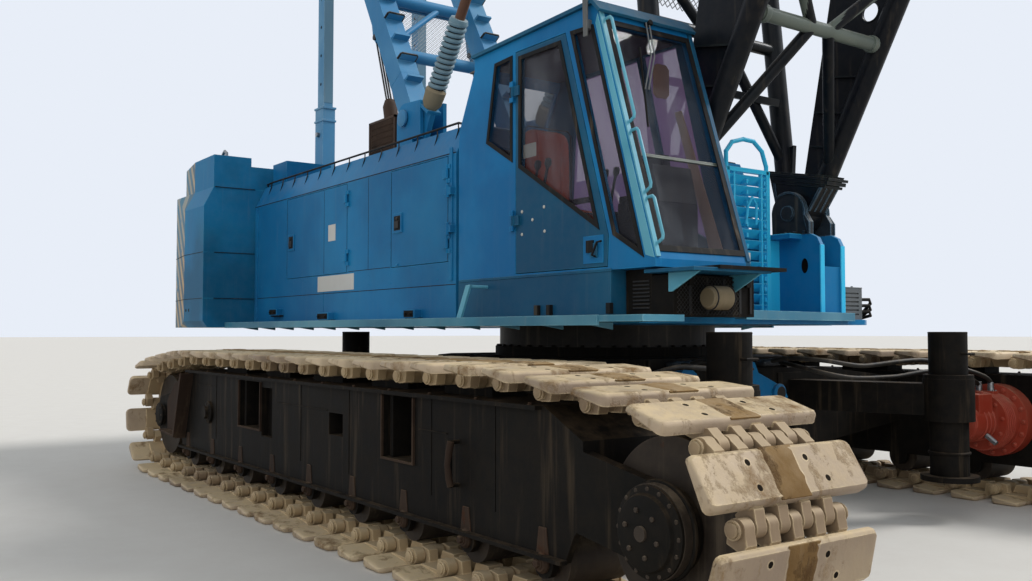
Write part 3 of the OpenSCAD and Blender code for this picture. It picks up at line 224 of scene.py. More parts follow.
def make_edge_wear() -> Group:
    """Makes the group that finds worn edges.

    Returns:
        A group with a radius as input and a mask as output.
    """
    group, tree, given, end = new_group("edge_wear", [("Radius", "Float")], [("Mask", "Float")])
    rounded = tree.add("ShaderNodeBevel", samples=4)
    tree.feed(given["Radius"], rounded.inputs[0])
    plain = tree.add("ShaderNodeNewGeometry").outputs["Normal"]
    dot = tree.add("ShaderNodeVectorMath", operation="DOT_PRODUCT")
    tree.feed(rounded.outputs[0], dot.inputs[0])
    tree.feed(plain, dot.inputs[1])
    bent = tree.calc("SUBTRACT", 1.0, dot.outputs["Value"])
    patchy = tree.noise(tree.place(), 7.0, 6.0)
    wear = tree.times(tree.ramp(bent, 0.012, 0.16), tree.ramp(patchy, 0.34, 0.6))
    tree.feed(wear, end.inputs["Mask"])
    return group


def make_weathering(edge_wear: Group) -> Group:
    """Makes the group that ages a finish with fading, dust, rust and streaks.

    Args:
        edge_wear: The group that finds worn edges.

    Returns:
        A group that puts out a colour, a roughness and a height.
    """
    inputs = [("Paint", "Color"), ("Patch", "Color"), ("Faded", "Color"), ("Dust", "Color"),
              ("Rust", "Color"), ("Fading", "Float"), ("Dusting", "Float"), ("Rusting", "Float"),
              ("Streaks", "Float"), ("Gloss", "Float"), ("Edge", "Float")]
    outputs = [("Color", "Color"), ("Roughness", "Float"), ("Height", "Float")]
    group, tree, given, end = new_group("weathering", inputs, outputs)
    near = tree.place()
    broad = tree.noise(near, 0.85, 3.0)
    cloudy = tree.noise(tree.place(turn=(0.4, 0.3, 0.2)), 0.62, 6.0, 0.55)
    fine = tree.noise(near, 11.0, 8.0, 0.68)
    runs = tree.noise(tree.place(scale=(9, 9, 0.55)), 1.6, 5.0, 0.6)
    spots = tree.noise(near, 3.4, 9.0, 0.72)
    facing = tree.add("ShaderNodeNewGeometry").outputs["Normal"]
    normal = tree.add("ShaderNodeSeparateXYZ", Vector=facing)
    up = tree.ramp(normal.outputs["Z"], 0.25, 0.95)
    edge = tree.add("ShaderNodeGroup", node_tree=edge_wear)
    edge.inputs["Radius"].default_value = WEAR_REACH
    edge_mask = tree.times(edge.outputs["Mask"], given["Edge"])

    sun = tree.plus(tree.times(tree.ramp(broad, 0.4, 0.74), 0.75),
                    tree.times(up, 0.6))
    sun = tree.times(sun, given["Fading"])
    sun = tree.plus(sun, edge_mask, clamp=True)
    color = tree.blend(tree.ramp(cloudy, 0.42, 0.6), given["Paint"], given["Patch"])
    color = tree.blend(sun, color, given["Faded"])
    streak = tree.times(tree.ramp(runs, 0.54, 0.78), given["Streaks"])
    color = tree.blend(tree.times(streak, 0.6), color, given["Dust"])

    settle = tree.plus(tree.times(up, 0.8), 0.08)
    settle = tree.times(settle, tree.ramp(fine, 0.3, 0.7))
    settle = tree.times(settle, given["Dusting"], clamp=True)
    color = tree.blend(settle, color, given["Dust"])

    bitten = tree.plus(tree.times(spots, 0.72), tree.times(runs, 0.28))
    limit = tree.calc("SUBTRACT", 0.78, tree.times(given["Rusting"], 0.36))
    rust = tree.times(tree.calc("SUBTRACT", bitten, limit), 9.0, clamp=True)
    rust_tone = tree.blend(fine, given["Rust"], linear("#3a1e12"))
    color = tree.blend(rust, color, rust_tone)
    tree.feed(color, end.inputs["Color"])

    rough = tree.plus(given["Gloss"], tree.times(settle, 0.35))
    rough = tree.plus(rough, tree.times(rust, 0.4))
    rough = tree.plus(rough, tree.times(tree.calc("SUBTRACT", fine, 0.5), 0.16), clamp=True)
    tree.feed(rough, end.inputs["Roughness"])
    height = tree.plus(tree.times(fine, 0.25), tree.times(rust, 0.35))
    height = tree.plus(height, tree.times(broad, 0.5))
    tree.feed(height, end.inputs["Height"])
    return group


def make_stripes() -> Group:
    """Makes the group that puts slanted warning stripes on the counterweight's tail corners.

    Returns:
        A group with the stripes' colours and limits as inputs, and two shades of the result as outputs.
    """
    inputs = [("Ground", "Color"), ("Blotch", "Color"), ("Light", "Color"), ("Dark", "Color"),
              ("Pitch", "Float"), ("Front", "Float")]
    group, tree, given, end = new_group("tail_stripes", inputs, [("Color", "Color"), ("Patch", "Color")])
    split = tree.add("ShaderNodeSeparateXYZ", Vector=tree.place())
    out = tree.calc("ABSOLUTE", split.outputs["Y"])
    slope = tree.times(tree.plus(split.outputs["X"], out), 0.85)
    wave = tree.calc("DIVIDE", tree.plus(split.outputs["Z"], slope), given["Pitch"])
    light = tree.calc("LESS_THAN", tree.calc("FRACT", wave), 0.46)
    both = tree.blend(light, given["Dark"], given["Light"])
    behind = tree.calc("LESS_THAN", split.outputs["X"], given["Front"])
    wide = tree.calc("GREATER_THAN", out, STRIPES_INNER)
    chips = tree.ramp(tree.noise(tree.place(), 5.0, 8.0, 0.7), 0.34, 0.42)
    mask = tree.times(tree.times(behind, wide), chips)
    tree.feed(tree.blend(mask, given["Ground"], both), end.inputs["Color"])
    tree.feed(tree.blend(mask, given["Blotch"], both), end.inputs["Patch"])
    return group


def make_weave() -> Group:
    """Makes the group that gives seat cloth its threads.

    Returns:
        A group with the distance between threads as input and a height as output.
    """
    group, tree, given, end = new_group("cloth_weave", [("Thread", "Float")], [("Height", "Float")])
    split = tree.add("ShaderNodeSeparateXYZ", Vector=tree.place())
    rate = tree.calc("DIVIDE", math.tau, given["Thread"])
    across = tree.calc("SINE", tree.times(split.outputs["Y"], rate))
    up = tree.plus(split.outputs["X"], split.outputs["Z"])
    along = tree.calc("SINE", tree.times(up, rate))
    tree.feed(tree.times(tree.times(across, along), 0.12), end.inputs["Height"])
    return group


GROUPS = {"weathering": make_weathering(make_edge_wear()), "stripes": make_stripes(), "weave": make_weave()}


def new_material(name: str) -> tuple[bpy.types.Material, Tree, bpy.types.Node]:
    """Makes a material, and returns it with its Tree and its Principled shader."""
    made = bpy.data.materials.new(name)
    made.use_nodes = True
    return made, Tree(made.node_tree), made.node_tree.nodes["Principled BSDF"]


@dataclass(frozen=True)
class Finish:
    """A surface's colours and its age."""

    name: str
    paint: str
    patch: str
    faded: str
    gloss: float = 0.45
    shine: float = 0.22
    metal: float = 0.0
    fading: float = 0.4
    dusting: float = 0.3
    rusting: float = 0.0
    streaks: float = 0.3
    edge: float = 0.6
    bump: float = 0.15
    dust: str = "#b09d83"
    rust: str = "#7d4526"
    striped: bool = False
    woven: bool = False

    @functools.cache
    def material(self) -> bpy.types.Material:
        """Makes the finish's material once, and returns it."""
        made, tree, shader = new_material("finish_" + self.name)
        aged = tree.add("ShaderNodeGroup", node_tree=GROUPS["weathering"], Fading=self.fading,
                        Dusting=self.dusting, Rusting=self.rusting, Streaks=self.streaks, Gloss=self.gloss,
                        Edge=self.edge)
        for title in ("Paint", "Patch", "Faded", "Dust", "Rust"):
            aged.inputs[title].default_value = linear(getattr(self, title.lower()))
        if self.striped:
            stripes = tree.add("ShaderNodeGroup", node_tree=GROUPS["stripes"], Ground=linear(self.paint),
                               Blotch=linear(self.patch), Light=linear(STRIPE_LIGHT),
                               Dark=linear(STRIPE_DARK), Pitch=STRIPE_PITCH, Front=AXIS_X + STRIPES_FRONT)
            tree.feed(stripes.outputs["Color"], aged.inputs["Paint"])
            tree.feed(stripes.outputs["Patch"], aged.inputs["Patch"])
        tree.feed(aged.outputs["Color"], shader.inputs["Base Color"])
        tree.feed(aged.outputs["Roughness"], shader.inputs["Roughness"])
        shader.inputs["Metallic"].default_value = self.metal
        shader.inputs["Specular IOR Level"].default_value = self.shine
        height = aged.outputs["Height"]
        if self.woven:
            weave = tree.add("ShaderNodeGroup", node_tree=GROUPS["weave"], Thread=CLOTH_THREAD)
            height = tree.plus(height, weave.outputs["Height"])
        bump = tree.add("ShaderNodeBump", Strength=self.bump, Distance=BUMP_DEPTH, Height=height)
        tree.feed(bump.outputs[0], shader.inputs["Normal"])
        return made


@dataclass(frozen=True)
class Glass:
    """Tinted cab glass with a film of dust, and on the wall beside the boom a purple tint with a painted glow
    that stands in for bright sky seen through the glass.
    """

    name: str
    tint: str
    film: str = "#8f959c"
    # Purple tint of the glass beside the boom, also emitted there as a painted glow of sky light
    purple_tint_painted_sky: str = "#a183b4"
    veil: float = 0.29
    # Strength of the painted glow on the glass beside the boom
    painted_sky_strength: float = 0.3
    inner_wall: float = -0.93
    gloss: float = 0.03

    @functools.cache
    def material(self) -> bpy.types.Material:
        """Makes the glass material once, and returns it."""
        made, tree, shader = new_material("glass_" + self.name)
        smear = tree.ramp(tree.noise(tree.place(scale=(1, 1, 0.35)), 2.4, 7.0, 0.66), 0.4, 0.8)
        split = tree.add("ShaderNodeSeparateXYZ", Vector=tree.place())
        # Mask of the wall beside the boom, whose glass gets the purple tint and the painted sky glow
        inner = tree.calc("GREATER_THAN", split.outputs["Y"], self.inner_wall)
        color = tree.blend(inner, linear(self.tint), linear(self.purple_tint_painted_sky))
        color = tree.blend(tree.times(smear, 0.6), color, linear(self.film))
        tree.feed(color, shader.inputs["Base Color"])
        tree.feed(tree.plus(self.gloss, tree.times(smear, 0.03)), shader.inputs["Roughness"])
        veil = tree.plus(self.veil, tree.times(smear, 0.16))
        # The glass beside the boom is made more opaque so that its painted sky glow shows
        tree.feed(tree.plus(veil, tree.times(inner, 0.22), clamp=True), shader.inputs["Alpha"])
        # Painted light: the glass beside the boom glows purple, standing in for sky light seen through it
        tree.feed(tree.blend(inner, linear("#000000"), linear(self.purple_tint_painted_sky)), shader.inputs["Emission Color"])
        shader.inputs["Emission Strength"].default_value = self.painted_sky_strength
        shader.inputs["Metallic"].default_value = 0.0
        shader.inputs["Transmission Weight"].default_value = 0.0
        shader.inputs["Specular IOR Level"].default_value = 0.2
        return made


BLUE = Finish("body_blue", "#1474a8", "#116292", "#2f97c4", gloss=0.42, shine=0.08, fading=0.36, streaks=0.06,
              rusting=0.08)
TAIL_BLUE = Finish("tail_blue", "#186f9c", "#145b7e", "#2f97b8", gloss=0.5, shine=0.1, fading=0.5,
                   streaks=0.1, edge=0.5, rusting=0.1, striped=True)
CAB_BLUE = Finish("cab_blue", "#127ab2", "#10659a", "#2a90c0", gloss=0.38, shine=0.08, fading=0.3,
                  dusting=0.2, streaks=0.05, rusting=0.06)
CAB_TEAL = Finish("cab_teal", "#175776", "#124b6b", "#2b7c98", gloss=0.4, shine=0.08, fading=0.32,
                  streaks=0.08, rusting=0.08)
SKY_BLUE = Finish("walkway_blue", "#3f859e", "#34718a", "#7fb4c2", gloss=0.5, fading=0.5, dusting=0.5,
                  streaks=0.2, edge=0.7, rusting=0.18)
# The steps' paint is a brighter cyan than their own: painted light, standing in for direct sun on the steps
CYAN = Finish("step_cyan_painted_sun", "#2fc4f0", "#27ace0", "#74d4f2", gloss=0.42, dusting=0.2, streaks=0.1, edge=0.8,
              rusting=0.08)
MAST_BLUE = Finish("gantry_blue", "#2c76a5", "#256990", "#6fabcb", shine=0.15, fading=0.5, dusting=0.2,
                   streaks=0.15, rusting=0.3, rust="#ad5227")
BLACK = Finish("boom_black", "#070c14", "#0c1219", "#3a4340", gloss=0.36, shine=0.12, fading=0.16,
               dusting=0.2, streaks=0.12, edge=0.8, rusting=0.06)
LACING = Finish("worn_lacing", "#59625c", "#3b433f", "#8d9689", fading=0.6, dusting=0.25, edge=0.8,
                rusting=0.1)
CASTING = Finish("foot_casting", "#151c23", "#27414f", "#5f8298", gloss=0.5, fading=0.45, dusting=0.4,
                 edge=0.9, rusting=0.3)
DARK = Finish("chassis_dark", "#0d0c0b", "#151412", "#272421", gloss=0.62, shine=0.07, fading=0.25,
              dusting=0.5, streaks=0.5, edge=0.4, rusting=0.34, dust="#6d5c48", rust="#4a2b18", bump=0.4)
FLANGE = Finish("rusted_flange", "#2c211b", "#3a2b22", "#58473a", gloss=0.75, shine=0.12, dusting=0.55,
                rusting=0.55, dust="#7d6a52", rust="#5e3620", bump=0.4)
SHOE = Finish("shoe_steel", "#b7a38a", "#8d7b69", "#e3cda4", gloss=0.55, metal=0.1, fading=0.5, dusting=0.55,
              streaks=0.4, edge=0.9, rusting=0.72, rust="#a98a60", dust="#dcc394", bump=0.9)
LINK = Finish("link_steel", "#a8916f", "#85715a", "#d0ba94", gloss=0.6, metal=0.1, fading=0.5, dusting=0.6,
              edge=0.9, rusting=0.35, bump=0.4)
MUD = Finish("dried_mud", "#8c6f48", "#6f5534", "#a98c60", gloss=0.95, shine=0.1, fading=0.6, dusting=0.5,
             edge=0.2, rusting=0.75, rust="#6a4d2c", bump=1.6)
# Near-black painted shade, put on discs, ovals and sheets where holes and recesses are
PAINTED_HOLE_SHADE = Finish("painted_hole_shade", "#120e0a", "#15110d", "#231d17", gloss=0.9, shine=0.05, fading=0.2, dusting=0.1,
              edge=0.0)
STRUT_BLUE = Finish("strut_blue", "#4f8db5", "#467fa5", "#93b7c9", gloss=0.5, shine=0.15, fading=0.6,
                    dusting=0.2, rusting=0.4, rust="#ad5227")
POST = Finish("warm_post", "#c6a594", "#b8937f", "#ddc3b4", gloss=0.7, edge=0.2)
FILTER = Finish("filter_paper", "#8d7f68", "#75684f", "#ab9f88", gloss=0.8, dusting=0.5, rusting=0.1)
ROLLER = Finish("roller_steel", "#231e1a", "#2f2822", "#54483d", gloss=0.65, metal=0.1, rusting=0.4,
                dusting=0.5, bump=0.4)
GREASY = Finish("greasy_steel", "#1a1a1b", "#2a2826", "#565350", gloss=0.5, metal=0.3, rusting=0.2,
                dusting=0.4)
STEEL = Finish("bare_steel", "#84878a", "#74777a", "#a9a9a6", gloss=0.38, shine=0.5, metal=0.8, rusting=0.25)
ROPE = Finish("rope_steel", "#3b3a37", "#2f2e2b", "#6d6860", gloss=0.5, shine=0.4, metal=0.6, dusting=0.2,
              rusting=0.15)
RED = Finish("motor_red", "#93301f", "#6f2318", "#bb6350", dusting=0.45, rusting=0.3)
RUBBER = Finish("seal_rubber", "#0e0f10", "#131415", "#262728", gloss=0.7, shine=0.15, fading=0.3,
                dusting=0.15, edge=0.2)
HOSE = Finish("hose_rubber", "#141413", "#22201d", "#3a3733", gloss=0.5, fading=0.3, dusting=0.4, edge=0.1)
SPRING = Finish("spring_blue", "#5d8090", "#4f7181", "#93a9b0", gloss=0.5, fading=0.6, dusting=0.25,
                rusting=0.15)
RUSTY_ROD = Finish("rusty_rod", "#55382b", "#45302a", "#8d6a52", gloss=0.65, rusting=0.6, dusting=0.2)
BROWN = Finish("louvre_brown", "#3c2c24", "#33261f", "#5a4638", gloss=0.7, rusting=0.4)
WHITE = Finish("blank_plate", "#c9c8c3", "#bdbbb4", "#e2e0d8", gloss=0.5, fading=0.3, edge=0.2)
# The seat cloth is a brighter orange than its own: painted light, standing in for light inside the cab that
# no lamp gives
SEAT = Finish("seat_cloth_painted_light", "#e06a48", "#cf5b3c", "#f09a78", gloss=0.9, shine=0.1, dusting=0.2, edge=0.1,
              bump=0.5, woven=True)
LINING = Finish("cab_lining", "#5a5653", "#4c4947", "#837c74", gloss=0.8, edge=0.1)
PURPLE = Finish("door_lining", "#6b5a7c", "#5e4f6d", "#8e7f9e", gloss=0.8, fading=0.3, edge=0.1)
PANEL = Finish("control_black", "#17181a", "#202123", "#38393b", gloss=0.6, fading=0.3, edge=0.3)
GREY = Finish("valve_grey", "#5f6467", "#4f5457", "#8b8f90", gloss=0.55, fading=0.5, dusting=0.5,
              rusting=0.15)
ENGINE = Finish("engine_olive", "#55533f", "#494735", "#77745c", gloss=0.55, rusting=0.4, dusting=0.6)
YELLOW = Finish("hook_yellow", "#b88a24", "#a67a1d", "#d3b25e", gloss=0.5, rusting=0.4, dusting=0.35)
CYAN_PILLAR = Finish("pillar_cyan", "#58a8bf", "#4796ae", "#8ecbd8", gloss=0.4, fading=0.5, dusting=0.2,
                     edge=0.7)
RUST_BLUE = Finish("rusted_blue", "#3d82ab", "#5e8296", "#7fa9bd", gloss=0.55, dusting=0.2, rusting=0.42,
                   rust="#ad5227")
CAB_GLASS = Glass("cab_tint", "#23222b")
DOOR_GLASS = Glass("door_tint", "#2b2632", veil=0.24)


class Form:
    """A mesh under construction, in metres from the swing axis."""

    def __init__(self, at: Matrix | None = None) -> None:
        """Starts an empty mesh whose parts are drawn in the given frame of reference."""
        self.bm = bmesh.new()
        self.at = at or Matrix.Identity(4)
        self.slot = 0

    def skin(self, points: Sequence[Point], faces: Iterable[Sequence[int]]) -> None:
        """Adds points and the faces between them."""
        made = [self.bm.verts.new(self.at @ Vector(p)) for p in points]
        for face in faces:
            self.bm.faces.new([made[i] for i in face]).material_index = self.slot

    def prism(self, outline: Sequence[Point], axis: Axis, low: float, high: float) -> None:
        """Extrudes an outline along an axis.

        Args:
            outline: Points in the two axes that are left, in alphabetical order.
            axis: The axis of the extrusion.
            low: Where it starts.
            high: Where it ends.
        """
        count = len(outline)
        points = []
        for depth in (low, high):
            for a, b in outline:
                points.append({Axis.X: (depth, a, b), Axis.Y: (a, depth, b), Axis.Z: (a, b, depth)}[axis])
        faces = [(i, (i + 1) % count, count + (i + 1) % count, count + i) for i in range(count)]
        self.skin(points, faces + [tuple(range(count))[::-1], tuple(range(count, 2 * count))])

    def box(self, low: Point, high: Point) -> None:
        """Adds a block between two corners."""
        outline = [(low[0], low[1]), (high[0], low[1]), (high[0], high[1]), (low[0], high[1])]
        self.prism(outline, Axis.Z, low[2], high[2])

    def rings(self, rows: Sequence[Sequence[Point]], close: bool = False) -> None:
        """Joins rings of points into a skin with flat ends, or into a closed loop."""
        count = len(rows[0])
        points = [p for row in rows for p in row]
        faces = []
        for k in range(len(rows) if close else len(rows) - 1):
            first, second = k * count, (k + 1) % len(rows) * count
            faces += [(first + i, first + (i + 1) % count, second + (i + 1) % count,
                       second + i) for i in range(count)]
        if not close:
            faces += [tuple(range(count))[::-1], tuple(range(len(points) - count, len(points)))]
        self.skin(points, faces)

    def tube(self, route: Sequence[Point], radius: float, sides: int = 10, close: bool = False) -> None:
        """Sweeps a round section along a route.

        Args:
            route: The points of the centre line.
            radius: Radius of the section.
            sides: Number of flats round the section.
            close: True for a route that ends where it starts.
        """
        line = [Vector(p) for p in route]
        last = len(line) - 1
        tangents = []
        for i in range(len(line)):
            before = line[(i - 1) % len(line)] if close or i else line[0]
            after = line[(i + 1) % len(line)] if close or i < last else line[last]
            tangents.append((after - before).normalized())
        side = tangents[0].orthogonal().normalized()
        rows = []
        for point, tangent in zip(line, tangents):
            side = (side - tangent * side.dot(tangent)).normalized()
            other = tangent.cross(side)
            rows.append([point + radius * (side * math.cos(a) + other * math.sin(a))
                         for a in (math.tau * k / sides for k in range(sides))])
        self.rings(rows, close)

    def disc(self, foot: Point, along: Point, radius: float, sides: int = 24) -> None:
        """Adds a round bar by its foot and its axis."""
        self.lathe([(radius, 0), (radius, 1)], foot, along, sides)

    def rod(self, start: Point, end: Point, radius: float, sides: int = 20) -> None:
        """Adds a round bar between two points."""
        self.disc(start, Vector(end) - Vector(start), radius, sides)

    def lathe(self, profile: Sequence[Point], foot: Point, along: Point, sides: int = 24) -> None:
        """Turns a profile round an axis.

        Args:
            profile: Pairs of a radius and a place along the axis, in lengths of the axis.
            foot: Where the axis starts.
            along: The axis, with its length.
            sides: Number of flats.
        """
        axis = Vector(along)
        side = axis.orthogonal().normalized()
        other = axis.normalized().cross(side)
        rows = [[Vector(foot) + axis * place + radius * (side * math.cos(a) + other * math.sin(a))
                 for a in (math.tau * k / sides for k in range(sides))] for radius, place in profile]
        self.rings(rows)

    def bolt(self, seat: Point, out: Point, radius: float = 0.014) -> None:
        """Adds a hexagon bolt head on its washer."""
        way = Vector(out).normalized()
        washer = way * radius * 0.3
        self.disc(seat, washer, radius * 1.35, 12)
        self.lathe([(radius, 0), (radius, 0.8), (radius * 0.8, 1)], Vector(seat) + washer, way * radius * 0.9,
                   6)

    def bolt_ring(self, centre: Point, out: Point, ring: float, count: int, radius: float = 0.014) -> None:
        """Adds bolts in a ring round an axis."""
        way = Vector(out).normalized()
        side = way.orthogonal().normalized()
        for k in range(count):
            arm = Matrix.Rotation(math.tau * k / count, 3, way) @ side
            self.bolt(Vector(centre) + arm * ring, way, radius)

    def hoop(self, centre: Point, axis: Point, ring: float, radius: float, turns: int = 28,
             sides: int = 8) -> None:
        """Adds a round ring."""
        way = Vector(axis).normalized()
        side = way.orthogonal().normalized() * ring
        self.tube([Vector(centre) + Matrix.Rotation(math.tau * k / turns, 3,
                                                    way) @ side for k in range(turns)],
                  radius, sides, close=True)

    def coil(self, start: Point, end: Point, ring: float, wire: float, turns: float, steps: int = 20) -> None:
        """Adds a coil spring between two points."""
        axis = Vector(end) - Vector(start)
        side = axis.orthogonal().normalized()
        total = int(turns * steps)
        self.tube([Vector(start) + axis * k / total
                   + Matrix.Rotation(math.tau * k / steps, 3, axis.normalized()) @ side * ring
                   for k in range(total + 1)], wire, 10)

    def grille(self, low: Point, high: Point, across: Point, along: Point, pitch: float, wire: float) -> None:
        """Fills a slanted panel with crossed wires.

        Args:
            low: The panel's first corner.
            high: The corner across from it.
            across: The direction of its first edge.
            along: The direction of its second edge.
            pitch: Distance between wires.
            wire: Half width of a wire.
        """
        start, first, second = Vector(low), Vector(across).normalized(), Vector(along).normalized()
        size = Vector(high) - start
        wide, tall = size.dot(first), size.dot(second)
        for way in (1, -1):
            shift = -tall if way > 0 else 0.0
            while shift < wide + (0.0 if way > 0 else tall):
                clipped = self.clip((shift, 0.0), (shift + way * tall, tall), wide)
                if clipped:
                    self.ribbon(*(start + first * u + second * v for u, v in clipped), first.cross(second),
                                wire)
                shift += pitch

    @staticmethod
    def clip(a: Point, b: Point, wide: float) -> list[Point] | None:
        """Cuts a slanted line to the panel from 0 to wide, or returns None outside it."""
        (x0, y0), (x1, y1) = sorted((a, b))
        if x1 <= 0 or x0 >= wide:
            return None
        slope = (y1 - y0) / (x1 - x0)
        low, high = max(x0, 0.0), min(x1, wide)
        if high - low < 1e-3:
            return None
        return [(low, y0 + slope * (low - x0)), (high, y0 + slope * (high - x0))]

    def ribbon(self, start: Vector, end: Vector, out: Vector, half: float) -> None:
        """Adds a thin wire of square section."""
        way = (end - start).normalized()
        side = way.cross(out).normalized() * half
        lift = out.normalized() * half
        rows = [[p + side, p + lift, p - side, p - lift] for p in (start, end)]
        self.rings(rows)

    def piece(self, name: str, body: str, finishes: Sequence[Finish], bevel: float = 0.0,
              stands_for: Sequence[str] = ()) -> bpy.types.Object:
        """Turns the form into an object that rides on a body.

        Args:
            name: The piece's name.
            body: The CAD body it moves with.
            finishes: Its finishes, in the order of the material slots.
            bevel: Width of the rounded edges, or 0 for none.
            stands_for: CAD nodes that it replaces.

        Returns:
            The new object.
        """
        bmesh.ops.recalc_face_normals(self.bm, faces=self.bm.faces)
        bmesh.ops.translate(self.bm, vec=(AXIS_X, 0, 0), verts=self.bm.verts)
        mesh = bpy.data.meshes.new(name)
        self.bm.to_mesh(mesh)
        self.bm.free()
        mesh.shade_smooth()
        mesh.set_sharp_from_angle(angle=SHARP_ANGLE)
        made = bpy.data.objects.new(name, mesh)
        bpy.context.scene.collection.objects.link(made)
        for finish in finishes:
            mesh.materials.append(finish.material())
        if bevel:
            edge = made.modifiers.new("rounded_edges", "BEVEL")
            edge.width = bevel
            edge.segments = 1 if bevel < 0.004 else 2
            edge.limit_method = "ANGLE"
            edge.angle_limit = BEVEL_ANGLE
            edge.harden_normals = True
        if stands_for:
            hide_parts(*stands_for)
        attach(made, body)
        log.info("made %s on %s", name, body)
        return made


def paint(finish: Finish | Glass, *nodes: str) -> None:
    """Gives CAD nodes a finish in all their material slots."""
    for name in nodes:
        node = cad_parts[name]
        if not node.material_slots:
            node.data.materials.append(None)
        for place in node.material_slots:
            place.material = finish.material()


def mirrored(side: Side) -> Matrix:
    """Returns the matrix that puts a left-hand drawing on the given side."""
    return Matrix.Diagonal((1, side.value, 1, 1))


@dataclass
class Studio:
    """Camera, floor and soft light."""

    eye: Point = (6.69, -5.831, 1.42)
    heading: float = 54.2
    pitch: float = 2.383
    lens: float = 34.116
    sensor: float = 36.0
    view_end: float = 2000.0
    floor_half: float = 250.0
    floor_z: float = -0.002
    # Name, turn in degrees, strength and spread in degrees of each lamp
    lamps: tuple[tuple, ...] = (("key", (48, 0, 158), 2.3, 18), ("fill", (62, 0, 40), 0.55, 60))

    def make_camera(self) -> None:
        """Puts the camera where the photograph was taken from."""
        lens = bpy.data.cameras.new("photo_camera")
        lens.lens = self.lens
        lens.sensor_width = self.sensor
        lens.clip_end = self.view_end
        camera = bpy.data.objects.new("photo_camera", lens)
        camera.location = Vector(self.eye) + Vector((AXIS_X, 0, 0))
        camera.rotation_euler = (math.radians(90 + self.pitch), 0, math.radians(self.heading))
        bpy.context.scene.collection.objects.link(camera)
        bpy.context.scene.camera = camera

    def make_floor(self) -> None:
        """Lays the pale floor."""
        form = Form()
        half, z = self.floor_half, self.floor_z
        form.skin([(-half, -half, z), (half, -half, z), (half, half, z), (-half, half, z)], [(0, 1, 2, 3)])
        mesh = bpy.data.meshes.new("pale_floor")
        form.bm.to_mesh(mesh)
        form.bm.free()
        floor = bpy.data.objects.new("pale_floor", mesh)
        bpy.context.scene.collection.objects.link(floor)
        made, tree, shader = new_material("floor_pale")
        grain = tree.noise(tree.place(), 3.0, 8.0, 0.7)
        tree.feed(tree.blend(grain, linear("#cfc9c0"), linear("#dcd8d0")), shader.inputs["Base Color"])
        shader.inputs["Roughness"].default_value = 0.9
        mesh.materials.append(made)

    def make_light(self) -> None:
        """Adds the sky, the key light and the fill light."""
        world = bpy.data.worlds.new("pale_sky")
        bpy.context.scene.world = world
        world.use_nodes = True
        tree = Tree(world.node_tree)
        plain = world.node_tree.nodes["Background"]
        plain.inputs["Color"].default_value = linear("#e6edf5")
        plain.inputs["Strength"].default_value = 0.62
        seen = tree.add("ShaderNodeBackground", Color=linear("#e8eef8"), Strength=1.0)
        path = tree.add("ShaderNodeLightPath")
        either = tree.calc("MAXIMUM", path.outputs["Is Camera Ray"], path.outputs["Is Transmission Ray"])
        either = tree.calc("MAXIMUM", either, path.outputs["Is Glossy Ray"])
        mix = tree.add("ShaderNodeMixShader")
        tree.feed(either, mix.inputs[0])
        tree.feed(plain.outputs[0], mix.inputs[1])
        tree.feed(seen.outputs[0], mix.inputs[2])
        tree.feed(mix.outputs[0], world.node_tree.nodes["World Output"].inputs["Surface"])
        for name, turn, strength, spread in self.lamps:
            lamp = bpy.data.lights.new(name + "_light", "SUN")
            lamp.energy = strength
            lamp.angle = math.radians(spread)
            holder = bpy.data.objects.new(name + "_light", lamp)
            holder.rotation_euler = [math.radians(a) for a in turn]
            bpy.context.scene.collection.objects.link(holder)
        bpy.context.scene.view_settings.view_transform = "Standard"


